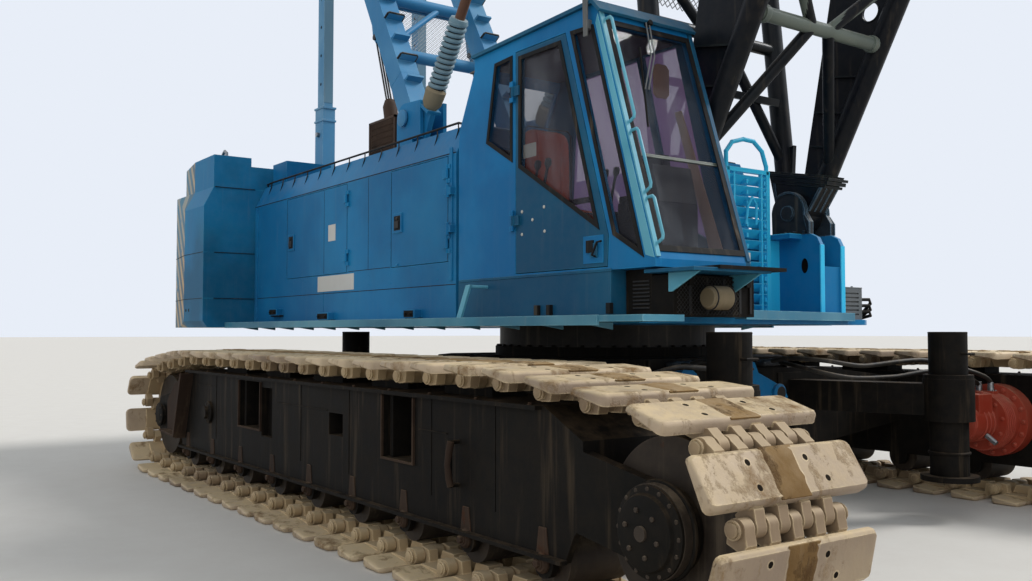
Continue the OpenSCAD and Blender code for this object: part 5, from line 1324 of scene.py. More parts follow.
@dataclass
class Gantry:
    """Pins, ropes and the mesh of the gantry, and the backstop springs."""

    body: str = "superstructure"
    foot: Point = (-2.3, 3.66)
    head: Point = (-4.33, 7.26)
    leg_y: float = 0.64
    leg_half: float = 0.115
    stop_foot: Point = (-1.9, 3.71)
    stop_angle: float = 54.5
    stop_y: float = 0.72
    strut_x: float = -4.545
    strut_y: float = 0.67

    def make_legs(self) -> None:
        """Makes the grips, pin caps, rope bracket and guard mesh on the front legs."""
        way = Vector((self.head[0] - self.foot[0], self.head[1] - self.foot[1]))
        length = way.length
        form = Form(Matrix.Translation((self.foot[0], 0, self.foot[1]))
                    @ Matrix.Rotation(-math.atan2(way.y, way.x), 4, "Y"))
        for side in (-1, 1):
            y = side * self.leg_y
            form.slot = 2
            for k in range(1, 10, 2):
                u = 0.4425 + k * 0.3
                form.tube([(u, y - 0.108, -0.128), (u, y - 0.104, -0.206), (u, y - 0.09, -0.222),
                           (u, y + 0.09, -0.222), (u, y + 0.104, -0.206), (u, y + 0.108, -0.128)], 0.011, 8)
            form.slot = 0
            for u in (0.0, length):
                form.lathe([(0.09, 0), (0.09, 0.7), (0.06, 1)], (u, y + side * (self.leg_half + 0.06), 0),
                           (0, side * 0.03, 0))
            for u, w in ((1.07, 0.11), (1.826, 0.0), (3.0, 0.0)):
                form.hoop((u, y - side * (self.leg_half + 0.004), w), OUT, 0.074, 0.014)
            for dy in (-0.05, 0.02):
                form.prism([(1.36, 0.13), (1.9, 0.13), (1.66, 0.19), (1.42, 0.27), (1.33, 0.25)], Axis.Y,
                           y + dy, y + dy + 0.03)
            form.slot = 2
            form.rod((1.39, y - 0.07, 0.22), (1.39, y + 0.07, 0.22), 0.035, 18)
            form.slot = 0
            for u in (0.55, 3.55):
                form.box((u, y - 0.118, -0.132), (u + 0.05, y + 0.118, 0.132))
        form.tube([(1.2, -0.53, 0.0), (1.78, 0.12, 0.0)], 0.035, 12)
        form.slot = 1
        form.grille((1.12, -0.52, 0.09), (1.8, 0.5, 0.09), OUT, AHEAD, 0.045, 0.003)
        form.slot = 0
        for u in (1.11, 1.79):
            form.box((u, -0.525, 0.075), (u + 0.02, 0.525, 0.105))
        form.piece("gantry_rungs", self.body, (MAST_BLUE, STEEL, GREASY), bevel=0.0015)

    def make_ropes(self) -> None:
        """Makes the ropes that hang from the legs' brackets and their rusty sockets."""
        form = Form()
        for side in (-1, 1):
            y = side * self.leg_y
            form.slot = 0
            for dy in (-0.03, 0.0, 0.03):
                form.rod((-3.2, y + dy, 4.76), (-2.93, y + dy, 3.98), 0.011, 8)
            form.rod((-2.98, y + 0.03, 4.3), (-2.89, y + 0.06, 3.92), 0.009, 8)
            form.slot = 1
            form.lathe([(0.06, 0), (0.08, 0.08), (0.08, 0.72), (0.05, 1)], (-2.87, y, 3.74), (-0.06, 0, 0.26),
                       22)
            form.box((-2.93, y - 0.07, 3.066), (-2.81, y + 0.07, 3.75))
        form.piece("gantry_ropes", self.body, (ROPE, BROWN), bevel=0.003)

    def make_springs(self) -> None:
        """Makes the coil springs and rods of the backstops."""
        a = math.radians(self.stop_angle)
        way = Vector((math.cos(a), 0, math.sin(a)))
        form = Form()
        for side in (-1, 1):
            foot = Vector((self.stop_foot[0], side * self.stop_y, self.stop_foot[1]))
            form.slot = 0
            form.coil(foot + way * 0.21, foot + way * 0.92, 0.079, 0.0225, 13)
            form.lathe([(0.094, 0), (0.1, 0.3), (0.088, 1)], foot + way * 0.91, way * 0.05, 28)
            form.slot = 4
            form.lathe([(0.07, 0), (0.1, 0.25), (0.108, 0.9), (0.092, 1)], foot + way * 0.0, way * 0.22)
            form.slot = 1
            form.rod(foot + way * 0.95, foot + way * 6.17, 0.05, 20)
            form.slot = 2
            form.disc(foot + way * 6.15, way * 0.03, 0.06)
            form.slot = 3
            form.disc(foot + way * 0.02, way * 0.88, 0.074, 20)
        form.piece("backstop_springs", self.body, (SPRING, RUSTY_ROD, RUBBER, RUBBER, FILTER), bevel=0.0)

    def make_struts(self) -> None:
        """Makes the pins and stops of the rear struts, and near-black cylinders of painted shade for their
        holes.
        """
        form = Form()
        for side in (-1, 1):
            y = side * self.strut_y
            form.slot = 0
            for z in (4.18, 4.02):
                form.box((self.strut_x - 0.122, y - 0.094, z), (self.strut_x + 0.122, y + 0.094, z + 0.024))
            # Painted shade: near-black cylinders through the strut stand for the shade in its pin holes
            form.slot = 2
            for k in range(7):
                z = 4.5 + k * 0.36
                form.disc((self.strut_x, y - 0.0632, z), (0, 0.1264, 0), 0.02, 18)
            form.slot = 1
            form.rod((self.strut_x, y - 0.12, 3.86), (self.strut_x, y + 0.12, 3.86), 0.03, 16)
            form.slot = 3
            form.box((self.strut_x + 0.083, y - 0.063, 4.26), (self.strut_x + 0.089, y + 0.063, 6.9))
        form.piece("strut_pins", self.body, (STRUT_BLUE, STEEL, PAINTED_HOLE_SHADE, RUST_BLUE), bevel=0.002)


@dataclass
class Cab:
    """Seals, frames, handles and lining of the cab, drawn on the left and mirrored to the right."""

    body: str = "superstructure"
    face: float = 1.72
    inner: float = 0.87
    side_windows: tuple[tuple[Point, ...], ...] = (
        ((0.62, 2.84), (0.94, 2.66), (0.94, 3.42), (0.73, 3.41)),
        ((2.05, 2.035), (2.31, 1.89), (1.85, 3.42), (1.63, 3.43)))
    door_window: tuple[Point, ...] = ((1.035, 2.6), (1.895, 2.095), (1.507, 3.395), (1.035, 3.395))
    screen: tuple[Point, Point] = ((1.905, 3.5), (2.425, 1.86))

    @staticmethod
    def inset(outline: Sequence[Point], by: float) -> list[Point]:
        """Moves an outline's edges inward, or outward where by is negative."""
        area = sum(a[0] * b[1] - b[0] * a[1] for a, b in zip(outline, list(outline[1:]) + [outline[0]]))
        turn = 1 if area > 0 else -1
        moved = []
        for i, corner in enumerate(outline):
            before, after = Vector(outline[i - 1]), Vector(outline[(i + 1) % len(outline)])
            here = Vector(corner)
            d1, d2 = (here - before).normalized(), (after - here).normalized()
            n1, n2 = Vector((-d1.y, d1.x)) * turn, Vector((-d2.y, d2.x)) * turn
            middle = (n1 + n2).normalized()
            moved.append(tuple(here + middle * by / max(middle.dot(n1), 0.3)))
        return moved

    def seal(self, form: Form, outline: Sequence[Point], y0: float, y1: float) -> None:
        """Adds a flat rubber frame round a window."""
        outer, inner = self.inset(outline, -0.01), self.inset(outline, 0.02)
        for i in range(len(outer)):
            j = (i + 1) % len(outer)
            form.prism([outer[i], outer[j], inner[j], inner[i]], Axis.Y, y0, y1)

    def along_screen(self, s: float, out: float) -> Point:
        """Returns the place at a distance down the windscreen and out from it."""
        top, foot = Vector(self.screen[0]), Vector(self.screen[1])
        way = (foot - top).normalized()
        return tuple(top + way * s + Vector((-way.y, way.x)) * out)

    def screen_strip(self, form: Form, s0: float, s1: float, y0: float, y1: float, out0: float,
                     out1: float) -> None:
        """Adds a bar on the windscreen's plane."""
        corners = ((s0, out0), (s1, out0), (s1, out1), (s0, out1))
        form.prism([self.along_screen(s, out) for s, out in corners], Axis.Y, y0, y1)

    def make_seals(self) -> None:
        """Makes the window seals and the frame of the windscreen."""
        form = Form(mirrored(Side.RIGHT))
        for outline in self.side_windows:
            self.seal(form, outline, self.face - 0.004, self.face + 0.007)
        low, high = self.inner + 0.06, self.face - 0.06
        length = (Vector(self.screen[1]) - Vector(self.screen[0])).length
        for s0, s1, y0, y1 in ((0.045, 0.085, low - 0.02, high + 0.02),
                               (1.635, 1.675, low - 0.02, high + 0.02),
                               (0.085, 1.635, low - 0.02, low + 0.018),
                               (0.085, 1.635, high - 0.018, high + 0.02)):
            self.screen_strip(form, s0, s1, y0, y1, -0.002, 0.008)
        form.slot = 1
        self.screen_strip(form, 1.0, 1.022, low, high, -0.03, -0.012)
        form.slot = 2
        self.screen_strip(form, 0.0, length - 0.01, high + 0.022, self.face - 0.004, -0.002, 0.012)
        form.prism([(2.338, 1.885), (1.878, 3.43), (1.9, 3.492), (2.418, 1.864)], Axis.Y, self.face - 0.001,
                   self.face + 0.003)
        form.slot = 3
        self.screen_strip(form, 0.0, length - 0.01, self.inner + 0.004, low - 0.022, -0.002, 0.01)
        form.piece("cab_seals", self.body, (RUBBER, LACING, CYAN_PILLAR, CAB_TEAL), bevel=0.0015)
        form = Form(mirrored(Side.RIGHT))
        self.seal(form, self.door_window, self.face - 0.004, self.face + 0.007)
        form.slot = 1
        for x, z in ((1.065, 2.273), (1.324, 2.282), (1.19, 2.205), (1.065, 2.11), (1.33, 2.112)):
            form.lathe([(0.012, 0), (0.012, 0.5), (0.007, 1)], (x, self.face - 0.001, z), (0, 0.008, 0), 12)
        form.slot = 2
        form.box((1.75, self.face - 0.001, 1.86), (1.95, self.face + 0.004, 2.04))
        form.slot = 0
        form.box((1.79, self.face, 1.93), (1.86, self.face + 0.016, 2.01))
        form.tube([(1.88, self.face, 1.9), (1.88, self.face + 0.04, 1.91), (1.93, self.face + 0.04, 1.99),
                   (1.93, self.face, 2.0)], 0.008, 8)
        form.slot = 3
        form.box((1.045, self.face - 0.026, 2.66), (1.2, self.face - 0.0255, 2.76))
        form.piece("cab_door_trim", "cab_door", (RUBBER, WHITE, CAB_BLUE, WHITE), bevel=0.0015)

    def make_outside(self) -> None:
        """Makes the roof lip, grab rails, wiper, step and brackets."""
        form = Form(mirrored(Side.RIGHT))
        form.prism([(0.44, 3.515), (1.86, 3.562), (1.935, 3.49), (1.95, 3.505), (1.87, 3.59), (0.43, 3.542)],
                   Axis.Y, self.inner - 0.01, self.face + 0.028)
        form.box((0.23, self.face - 0.001, 1.8), (2.03, self.face + 0.006, 1.818))
        form.box((2.3, 1.02, 1.775), (2.72, self.face - 0.02, 1.797))
        form.slot = 1
        y = self.face - 0.045
        for s0, s1 in ((0.05, 0.8), (0.86, 1.28), (1.32, 1.62)):
            form.tube([(x, y, z) for x, z in (self.along_screen(s, out) for s, out in (
                (s0, 0.005), (s0 + 0.01, 0.05), (s0 + 0.03, 0.06), (s1 - 0.03, 0.06), (s1 - 0.01, 0.05),
                (s1, 0.005)))],
                0.011, 8)
        for y0 in (1.06, 1.6):
            form.prism([(2.42, 1.775), (2.68, 1.775), (2.45, 1.66), (2.42, 1.66)], Axis.Y, y0, y0 + 0.012)
        form.prism([(0.47, 1.516), (0.53, 1.516), (0.66, 1.76), (0.6, 1.76)], Axis.Y, self.face + 0.16,
                   self.face + 0.18)
        form.tube([(0.62, self.face - 0.01, 1.75), (0.62, self.face + 0.17, 1.75)], 0.014, 8)
        form.slot = 2
        arm = ((self.along_screen(0.02, 0.03), 1.3), (self.along_screen(0.3, 0.06), 1.36),
               (self.along_screen(0.55, 0.03), 1.46))
        for shift in (0.0, 0.03):
            form.tube([(place[0], y + shift, place[1]) for place, y in arm], 0.006, 6)
        form.slot = 3
        blade = [self.along_screen(0.22, 0.014), self.along_screen(0.82, 0.014)]
        form.tube([(blade[0][0], 1.43, blade[0][1]), (blade[1][0], 1.53, blade[1][1])], 0.008, 6)
        hub = self.along_screen(0.02, 0.0), self.along_screen(0.02, 0.05)
        form.rod((hub[0][0], 1.3, hub[0][1]), (hub[1][0], 1.3, hub[1][1]), 0.02, 14)
        for x in (1.24, 1.38, 2.0):
            form.box((x, self.face - 0.002, 1.53), (x + 0.04, self.face + 0.03, 1.6))
        form.slot = 2
        form.prism([(1.8, 3.35), (1.84, 3.35), (1.84, 3.95), (1.78, 3.95)], Axis.Y, self.face + 0.03,
                   self.face + 0.042)
        form.box((1.8, self.face - 0.004, 3.4), (1.84, self.face + 0.034, 3.46))
        form.piece("cab_outside", self.body, (CAB_TEAL, CYAN_PILLAR, GREY, RUBBER), bevel=0.002)

    def make_inside(self) -> None:
        """Makes the lining, console, levers, shades and gauges."""
        form = Form(mirrored(Side.RIGHT))
        inner = self.inner
        form.slot = 0
        form.box((0.3, inner + 0.05, 3.44), (1.78, self.face - 0.05, 3.455))
        form.box((0.275, inner + 0.05, 1.9), (0.29, self.face - 0.05, 2.88))
        form.slot = 1
        form.box((0.32, inner + 0.05, 1.9), (1.7, inner + 0.058, 2.28))
        form.slot = 2
        form.box((1.36, inner + 0.06, 2.352), (1.88, inner + 0.19, 2.4))
        form.prism([(1.95, 2.252), (2.18, 2.252), (2.12, 2.5), (1.98, 2.5)], Axis.Y, 1.1, 1.45)
        form.prism([(1.4, 2.4), (1.8, 2.4), (1.76, 2.66), (1.46, 2.66)], Axis.Y, inner + 0.07, inner + 0.15)
        for y in (1.0, 1.64):
            form.box((0.92, y - 0.05, 2.08), (1.3, y + 0.05, 2.3))
            for x in (1.08, 1.2):
                form.tube([(x, y, 2.3), (x + 0.02, y, 2.45), (x + 0.06, y, 2.58)], 0.011, 8)
                form.lathe([(0.012, 0), (0.026, 0.4), (0.022, 0.9), (0.01, 1)], (x + 0.055, y, 2.57),
                           (0.02, 0, 0.07), 14)
        for y in (1.16, 1.4):
            form.tube([(2.0, y, 1.865), (2.08, y, 1.98), (2.06, y, 2.04)], 0.014, 8)
            form.box((1.98, y - 0.05, 2.0), (2.12, y + 0.05, 2.02))
        form.slot = 3
        for y in (1.16, 1.28, 1.4):
            form.disc((1.972, y, 2.42), (-0.012, 0, 0.002), 0.035, 20)
        form.slot = 4
        form.prism([(0.93, 3.09), (0.96, 3.06), (1.05, 3.06), (1.08, 3.09), (1.08, 3.27), (1.05, 3.3),
                    (0.96, 3.3), (0.93, 3.27)], Axis.X, 1.74, 1.755)
        form.prism([(1.8, 2.96), (1.87, 2.96), (2.24, 1.96), (2.12, 1.96)], Axis.Y, inner + 0.052,
                   inner + 0.06)
        form.piece("cab_lining", self.body, (LINING, PURPLE, PANEL, WHITE, POST), bevel=0.003)

    def make_heater(self) -> None:
        """Makes the louvres, mesh and filter of the heater box."""
        form = Form(mirrored(Side.RIGHT))
        for k in range(8):
            z = 1.56 + k * 0.024
            form.box((2.1, 1.598, z), (2.25, 1.61, z + 0.01))
        for y in (0.9, 1.0, 1.15, 1.3, 1.45):
            form.box((2.448, y, 1.53), (2.46, y + 0.02, 1.75))
        form.grille((2.462, 1.02, 1.52), (2.462, 1.58, 1.76), OUT, UP, 0.03, 0.0025)
        form.slot = 1
        form.lathe([(0.06, 0), (0.075, 0.12), (0.075, 0.88), (0.06, 1)], (2.52, 1.19, 1.625), (0, 0.19, 0),
                   28)
        form.slot = 0
        for y in (1.21, 1.36):
            form.hoop((2.52, y, 1.625), OUT, 0.077, 0.005, 28, 6)
            form.box((2.44, y - 0.012, 1.6), (2.5, y + 0.012, 1.65))
        form.piece("heater_louvres", self.body, (PANEL, FILTER), bevel=0.002)


@dataclass
class Seat:
    """The driver's seat: two stuffed cushions with sewn channels, piping and armrests."""

    body: str = "superstructure"
    middle: float = -1.32
    grain: float = 0.007
    swell_limit: float = 0.012

    def blown(self, made: bpy.types.Object) -> None:
        """Fills a cushion with cloth pressure, and keeps the moves of its points within the limit.

        Args:
            made: The cushion, whose mesh is replaced.
        """
        even = made.modifiers.new("even_skin", "REMESH")
        even.mode = "VOXEL"
        even.voxel_size = self.grain
        self.settle(made)
        rest = [v.co.copy() for v in made.data.vertices]
        cloth = made.modifiers.new("filling", "CLOTH")
        cloth.settings.use_pressure = True
        cloth.settings.uniform_pressure_force = 4.0
        cloth.settings.quality = 4
        cloth.settings.effector_weights.gravity = 0.0
        for number in range(1, 21):
            bpy.context.scene.frame_set(number)
        self.settle(made)
        bpy.context.scene.frame_set(1)
        for vertex, start in zip(made.data.vertices, rest):
            move = vertex.co - start
            if move.length > self.swell_limit:
                vertex.co = start + move.normalized() * self.swell_limit

    @staticmethod
    def settle(made: bpy.types.Object) -> None:
        """Applies an object's modifiers to its mesh."""
        bpy.context.view_layer.update()
        seen = made.evaluated_get(bpy.context.evaluated_depsgraph_get())
        mesh = bpy.data.meshes.new_from_object(seen)
        made.modifiers.clear()
        made.data = mesh

    def cushion(self, name: str, low: Point, high: Point, up: Axis, channels: Sequence[float],
                stands_for: str) -> None:
        """Makes one cushion.

        Args:
            name: The piece's name.
            low: The lowest corner of its place.
            high: The highest corner.
            up: The axis that its crown faces.
            channels: Places of its sewn channels across the seat.
            stands_for: The CAD node that it replaces.
        """
        form = Form()
        give = 0.014
        middle = (Vector(low) + Vector(high)) / 2
        size = (Vector(high) - Vector(low)) / 2 - Vector((give, give, give))
        bmesh.ops.create_cube(form.bm, size=2.0)
        bmesh.ops.subdivide_edges(form.bm, edges=form.bm.edges, cuts=9, use_grid_fill=True)
        lift = up.value
        for vertex in form.bm.verts:
            p = vertex.co.copy()
            flat = [i for i in range(3) if i != lift]
            pull = 1 - 0.035 * (1 - p[flat[0]] ** 2) * abs(p[flat[1]]) ** 6
            crown = (1 - abs(p[flat[0]]) ** 3) * (1 - abs(p[flat[1]]) ** 3) * 0.16
            p[flat[1]] *= pull
            if p[lift] > 0:
                p[lift] += crown * p[lift]
            length = max(abs(p.x), abs(p.y), abs(p.z))
            round_by = Vector((abs(p.x) ** 5, abs(p.y) ** 5, abs(p.z) ** 5))
            total = (round_by.x + round_by.y + round_by.z) ** 0.2
            p = p * (length / total) if total else p
            vertex.co = middle + Vector((p.x * size.x, p.y * size.y, p.z * size.z))
        made = form.piece(name, self.body, (SEAT,), stands_for=(stands_for,))
        self.blown(made)
        top = Vector(high)[lift]
        for vertex in made.data.vertices:
            near = sum(math.exp(-((vertex.co.y - y) / 0.009) ** 2) for y in channels)
            above = max(0.0,
                        min(1.0,
                            (vertex.co[lift] - AXIS_X * (lift == 0) - middle[lift]) / (top - middle[lift])))
            vertex.co[lift] -= 0.011 * min(near, 1.0) * above ** 0.5
        made.data.shade_smooth()
        soft = made.modifiers.new("soft_skin", "SUBSURF")
        soft.levels = soft.render_levels = 1

    def make_seat(self) -> None:
        """Makes both cushions, their piping, the back plate and the armrests."""
        y = self.middle
        channels = (y - 0.11, y + 0.11)
        self.cushion("seat_cushion", (0.88, y - 0.24, 2.18), (1.3, y + 0.24, 2.3), Axis.Z, channels,
                     "cab_seat")
        self.cushion("seat_back", (0.76, y - 0.24, 2.18), (0.879, y + 0.24, 2.98), Axis.X, channels,
                     "cab_backrest")
        form = Form()
        across = ((0, -0.222), (1, -0.222), (2, -0.19), (2, 0.19), (1, 0.222), (0, 0.222))
        form.tube([((0.9, 1.255, 1.285)[stage], y + dy, 2.27) for stage, dy in across], 0.006, 8)
        form.tube([(0.853, y + dy, (2.24, 2.92, 2.955)[stage]) for stage, dy in across], 0.006, 8)
        form.slot = 1
        form.box((0.742, y - 0.2, 2.2), (0.765, y + 0.2, 2.9))
        for side in (-1, 1):
            form.rod((0.8, y + side * 0.26, 2.42), (0.8, y + side * 0.235, 2.42), 0.03, 16)
            form.box((0.79, y + side * 0.25, 2.4), (1.15, y + side * 0.29, 2.44))
        form.piece("seat_frame", self.body, (RUBBER, PANEL), bevel=0.003)


@dataclass
class Boom:
    """Boom foot castings, collars, plates, ropes and sleeves on the lattice."""

    body: str = "boom"
    foot: Point = (1.58, 2.372)
    luff: float = 79.0
    chord: float = 0.72
    taper: float = 2.03
    base: float = 7.62
    length: float = 15.24
    cross: float = 1.336

    def home(self) -> Matrix:
        """Returns the frame whose X runs up the boom from its foot pin."""
        return Matrix.Translation((self.foot[0], 0, self.foot[1])) @ Matrix.Rotation(-math.radians(self.luff),
                                                                                     4, "Y")

    def depth(self, u: float) -> float:
        """Returns the half depth of the tapered foot at a length along the boom."""
        return 0.11 + (self.chord - 0.11) * u / self.taper

    def make_foot(self) -> None:
        """Makes the collars, ribs and bolts of the boom foot."""
        form = Form(self.home())
        for side in (-1, 1):
            y = side * self.chord
            form.slot = 0
            for x0, z0, z1, wide in ((0.292, -0.325, 0.25, 0.125), (0.232, -0.29, 0.235, 0.113)):
                form.box((x0, y - wide, z0), (x0 + 0.022, y + wide, z1))
            for z in (-0.25, -0.1, 0.05, 0.18):
                for dy in (-0.1, 0.1):
                    form.bolt((0.314, y + dy, z), AHEAD, 0.014)
            form.slot = 2
            for dy in (-0.1, -0.035, 0.035, 0.1):
                form.prism([(0.04, -0.147), (0.245, -0.235), (0.245, -0.262), (0.04, -0.172)], Axis.Y,
                           y + dy - 0.009, y + dy + 0.009)
                form.prism([(0.04, 0.147), (0.245, 0.21), (0.245, 0.236), (0.04, 0.172)], Axis.Y,
                           y + dy - 0.009, y + dy + 0.009)
            form.slot = 1
            form.bolt_ring((0, y + side * 0.152, 0), (0, side, 0), 0.04, 4, 0.01)
        form.piece("boom_foot_collars", self.body, (BLACK, STEEL, CASTING), bevel=0.003)

    def make_castings(self) -> None:
        """Makes the ribs and caps of the castings on the brackets, on the superstructure."""
        form = Form()
        x0, z0, r = self.foot[0], self.foot[1], 0.165
        for side in Side:
            form.at = mirrored(side)
            form.slot = 0
            for y in (0.552, 0.572, 0.592, 0.832, 0.85, 0.868):
                arc = [(x0 + (r + 0.012) * math.cos(a), z0 + (r + 0.012) * math.sin(a))
                       for a in (math.radians(-12 + 12 * k) for k in range(13))]
                inside = [(x0 + r * 0.98 * math.cos(a), z0 + r * 0.98 * math.sin(a))
                          for a in (math.radians(132 - 12 * k) for k in range(13))]
                form.prism(arc + inside, Axis.Y, y, y + 0.008)
            for y in (0.548, 0.872):
                form.prism([(1.79, 2.192), (1.806, 2.192), (1.806, 2.285), (1.76, 2.35), (1.745, 2.345)],
                           Axis.Y, y - 0.006, y + 0.006)
            for x in (1.46, 1.55, 1.64, 1.73):
                for y in (0.553, 0.833):
                    form.box((x, y, 2.192), (x + 0.02, y + 0.054, 2.22))
                form.bolt((x + 0.05, 0.59, 2.19), UP, 0.014)
            form.lathe([(0.085, 0), (0.085, 0.6), (0.06, 1)], (x0, 0.871, z0), (0, 0.03, 0), 28)
            form.slot = 1
            form.bolt_ring((x0, 0.9, z0), OUT, 0.036, 3, 0.012)
        form.piece("foot_casting_ribs", "superstructure", (CASTING, STEEL), bevel=0.002)

    def make_lattice_trim(self) -> None:
        """Makes the guard mesh, the worn sleeves, the chord pins and the foot's gussets."""
        form = Form(self.home())
        form.slot = 1
        form.grille((1.5, -0.58, 0.66), (2.6, 0.58, 0.66), OUT, AHEAD, 0.055, 0.004)
        form.slot = 2
        c, z = self.cross, self.depth(self.cross)
        form.rod((c, -self.chord + 0.06, -z), (c, self.chord - 0.06, -z), 0.0515, 20)
        for side in (-1, 1):
            form.rod((c + 0.01, side * 0.1, -z), (1.86, side * 0.66, -self.depth(1.86)), 0.0425, 18)
            form.lathe([(0.062, 0), (0.066, 0.5), (0.062, 1)], (c, side * (self.chord - 0.13), -z),
                       (0, side * 0.05, 0), 20)
        form.slot = 0
        for y in (-self.chord, self.chord):
            for zz in (-self.chord, self.chord):
                for u in (self.base - 0.09, self.base + 0.02):
                    form.disc((u, y, zz), (0.07, 0, 0), 0.11)
                form.rod((self.base, y - 0.13, zz), (self.base, y + 0.13, zz), 0.03, 14)
            for dy in (0.012, -0.012):
                form.hoop((1.6, y + dy, -0.39), OUT, 0.078, 0.008)
            for u, half in ((0.55, 0.19), (0.82, 0.27), (1.1, 0.35)):
                form.box((u, y - 0.05, -half - 0.04), (u + 0.012, y + 0.05, -0.03))
        form.box((0.9, -0.36, 0.3), (1.2, -0.06, 0.315))
        form.box((0.86, -0.62, 0.29), (0.92, 0.62, 0.33))
        form.piece("boom_trim", self.body, (BLACK, STEEL, LACING), bevel=0.0)

    def make_ropes(self) -> None:
        """Makes the ropes over the head sheaves and over the bridle's sheaves."""
        a = math.radians(self.luff)
        up, back = Vector((math.cos(a), 0, math.sin(a))), Vector((-math.sin(a), 0, math.cos(a)))
        pin = Vector((self.foot[0], 0, self.foot[1]))
        head = pin + up * self.length - back * 0.74
        form = Form()
        r = 0.3543
        for y in (-0.1, 0.0, 0.1):
            line = [head + Vector((-r, y, -0.19))]
            line += [head + Vector((-r * math.cos(t), y,
                                    r * math.sin(t))) for t in (math.pi * k / 20 for k in range(21))]
            form.tube(line + [head + Vector((r, y, -0.19))], 0.014, 10)
        form.piece("head_rope_turns", "hook_block", (ROPE,))
        top = Vector((-4.33, 0, 7.26))
        stay = pin + up * (self.length - 0.13) + back * 0.6 - top
        way = stay.normalized()
        side = Vector((-way.z, 0, way.x))
        form = Form()
        r = 0.2643
        for k in range(5):
            y = -0.32 + k * 0.16
            centre = top + way * 2.52 + Vector((0, y, 0))
            line = [centre - way * 0.572 + side * r]
            line += [centre + side * r * math.cos(t) + way * r * math.sin(t)
                     for t in (math.pi * j / 18 for j in range(19))]
            form.tube(line + [centre - way * 0.572 - side * r], 0.014, 10)
        form.piece("bridle_rope_turns", "pendants", (ROPE,))


@dataclass
class Deck:
    """Boom foot brackets, walkways and steps."""

    body: str = "superstructure"

    def make_trim(self) -> None:
        """Makes the bracket's edges, the walkway's lips, the step's grips and dark marks of painted shade for
        holes.
        """
        form = Form()
        for side in Side:
            form.at = mirrored(side)
            front = 2.28 if side is Side.RIGHT else 0.2
            form.slot = 0
            form.box((-4.12, 2.044, 1.455), (front, 2.062, 1.518))
            for k in range(int((front + 3.95) / 0.5) + 1):
                x = -3.95 + k * 0.5
                form.prism([(1.74, 1.475), (2.04, 1.475), (1.74, 1.43)], Axis.X, x, x + 0.012)
            form.slot = 1
            for y in (0.566, 0.826):
                form.box((1.884, y, 1.512), (1.896, y + 0.048, 2.1))
            form.box((1.4885, 0.44, 1.512), (1.4925, 0.569, 2.152))
            form.box((1.09, 0.42, 2.188), (1.712, 0.57, 2.194))
            form.box((0.62, 0.565, 2.255), (0.94, 0.875, 2.262))
            # Painted shade: a near-black oval on the bracket stands for the shade in a hole
            form.slot = 2
            ring = [(1.74 + 0.032 * math.cos(t), 1.94 + 0.06 * math.sin(t)) for t in
                    (math.tau * k / 18 for k in range(18))]
            form.prism(ring, Axis.Y, 0.5672, 0.5702)
            form.slot = 0
            form.prism([(1.37, 2.19), (1.43, 2.19), (1.2, 2.52), (1.14, 2.52)], Axis.Y, 0.43, 0.45)
            form.tube([(1.17, 0.44, 2.5), (1.13, 0.44, 2.56), (1.17, 0.44, 2.61), (1.22, 0.44, 2.57)], 0.012,
                      8)
        form.at = Matrix.Identity(4)
        form.slot = 3
        form.box((1.74, -0.26, 1.89), (1.85, -0.2, 2.0))
        form.box((1.745, -0.45, 1.51), (1.76, -0.18, 1.9))
        form.slot = 0
        form.box((2.0, -0.6, 1.51), (2.015, -0.4, 1.71))
        # Painted shade: near-black discs stand for the shade in four bolt holes
        form.slot = 2
        for y, z in ((-0.55, 1.56), (-0.45, 1.56), (-0.55, 1.65), (-0.45, 1.65)):
            form.rod((2.014, y, z), (2.017, y, z), 0.012, 10)
        form.piece("deck_edges", self.body, (SKY_BLUE, CYAN, PAINTED_HOLE_SHADE, WHITE), bevel=0.002)

    def make_steps(self) -> None:
        """Makes the clips between the louvred steps and their rails' feet."""
        form = Form()
        for k in range(13):
            z = 1.57 + k * 0.085
            for y in (-0.075, 0.135, 0.345):
                form.box((1.452, y, z - 0.004), (1.53, y + 0.02, z + 0.03))
        for y in (-0.02, 0.3):
            form.box((1.505, y, 1.52), (1.535, y + 0.02, 2.68))
        form.box((1.5, -0.1, 2.67), (1.54, 0.39, 2.705))
        form.tube([(1.55, 0.1, 2.26), (1.57, 0.1, 2.4), (1.58, 0.14, 2.47), (1.57, 0.2, 2.42),
                   (1.55, 0.22, 2.26)], 0.012,
                  8)
        form.piece("step_clips", self.body, (CYAN,), bevel=0.002)

    def make_valve_trim(self) -> None:
        """Makes the pipes and bolts of the valve box."""
        form = Form()
        for k in range(3):
            form.tube([(1.78, 1.168, 1.58 + k * 0.05), (1.86, 1.24, 1.58 + k * 0.05),
                       (1.83, 1.3, 1.55 + k * 0.05), (1.7, 1.3, 1.52)], 0.014, 10)
        form.slot = 1
        form.box((1.448, 0.875, 1.77), (1.843, 1.172, 1.778))
        for x in (1.5, 1.64, 1.78):
            for y in (0.92, 1.12):
                form.bolt((x, y, 1.778), UP, 0.01)
        form.piece("valve_pipes", self.body, (HOSE, GREY), bevel=0.002)


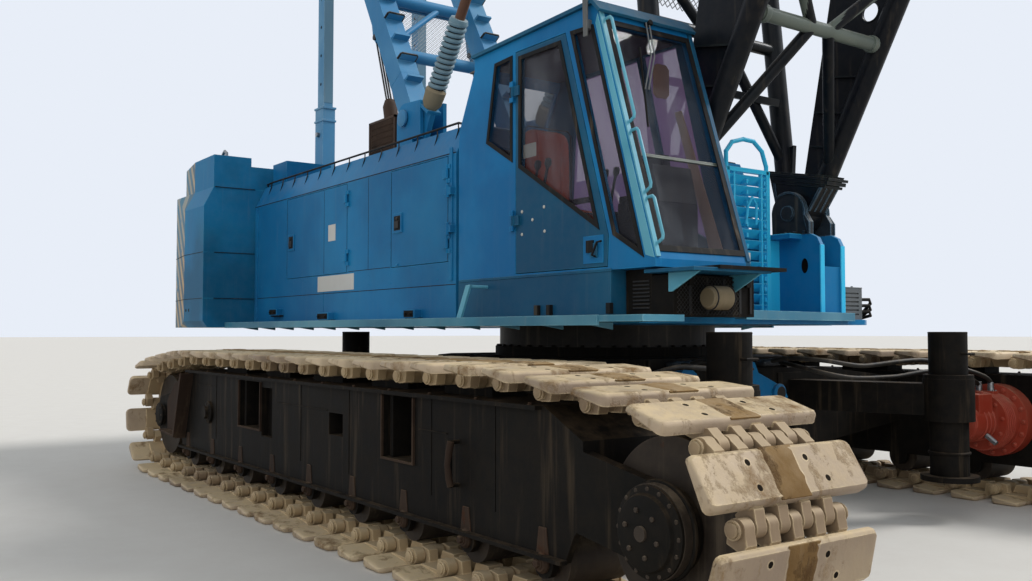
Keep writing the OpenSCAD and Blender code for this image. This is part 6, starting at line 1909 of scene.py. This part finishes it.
def dress_nodes() -> None:
    """Gives every CAD node its finish."""
    paint(DARK, "carbody", "crawler_frames", "carbody_jacks", "cab_heater")
    paint(GREASY, "swing_bearing")
    paint(STEEL, "gantry_sheaves", "main_drum", "auxiliary_drum", "boom_hoist_drum", "boom_sheaves",
          "hook_sheaves", "hose_unions")
    paint(ROLLER, "sprockets", "idlers", "track_rollers")
    paint(RED, "travel_motors")
    paint(BLUE, "turntable_frame", "house_right", "house_left", "door_right_rear", "door_right_front",
          "door_left_rear", "door_left_front", "engine_hood")
    paint(TAIL_BLUE, "counterweight_base", "counterweight_slab", "counterweight_upper", "counterweight_top")
    paint(CAB_BLUE, "cab_shell", "cab_outer_wall")
    paint(CAB_TEAL, "cab_door", "cab_plinth", "cab_inner_wall")
    paint(MAST_BLUE, "gantry_legs")
    paint(STRUT_BLUE, "gantry_struts")
    paint(SKY_BLUE, "catwalks")
    paint(CYAN, "steps")
    paint(GREY, "valve_box")
    paint(BROWN, "silencer_box")
    paint(ENGINE, "engine")
    paint(SPRING, "backstops")
    paint(BLACK, "boom_base", "boom_top")
    paint(CASTING, "boom_foot_ears")
    paint(ROPE, "hoist_falls", "pendants", "hook_falls")
    paint(YELLOW, "hook_block", "hook")
    paint(SEAT, "cab_seat", "cab_backrest")
    paint(HOSE, "hose_left_a", "hose_left_b", "hose_right_a", "hose_right_b")
    paint(PANEL, "cab_controls")
    paint(CAB_GLASS, "cab_glass")
    paint(DOOR_GLASS, "cab_door_glass")
    paint(SHOE, "track_right", "track_left")


def main() -> None:
    """Builds the studio and the crane's dressings in order."""
    studio = Studio()
    studio.make_camera()
    Hoses().make_hoses()
    dress_nodes()
    crawlers, carbody, house, tail = Crawlers(), Carbody(), House(), Tail()
    gantry, cab, seat, boom, deck = Gantry(), Cab(), Seat(), Boom(), Deck()
    steps: tuple[Callable[[], None], ...] = (
        crawlers.make_tracks, crawlers.make_side_fittings, crawlers.make_hubs, carbody.make_jack_trim,
        carbody.make_motor_trim, carbody.make_front, house.make_trim, house.make_latches,
        house.make_roof_gear, tail.make_fittings, gantry.make_legs, gantry.make_ropes, gantry.make_springs,
        gantry.make_struts, cab.make_seals, cab.make_outside, cab.make_inside, cab.make_heater,
        seat.make_seat, boom.make_foot, boom.make_castings, boom.make_lattice_trim, boom.make_ropes,
        deck.make_trim, deck.make_steps, deck.make_valve_trim, studio.make_floor, studio.make_light)
    for step in steps:
        log.info("%s", step.__qualname__)
        step()


if __name__ == "__main__":
    main()
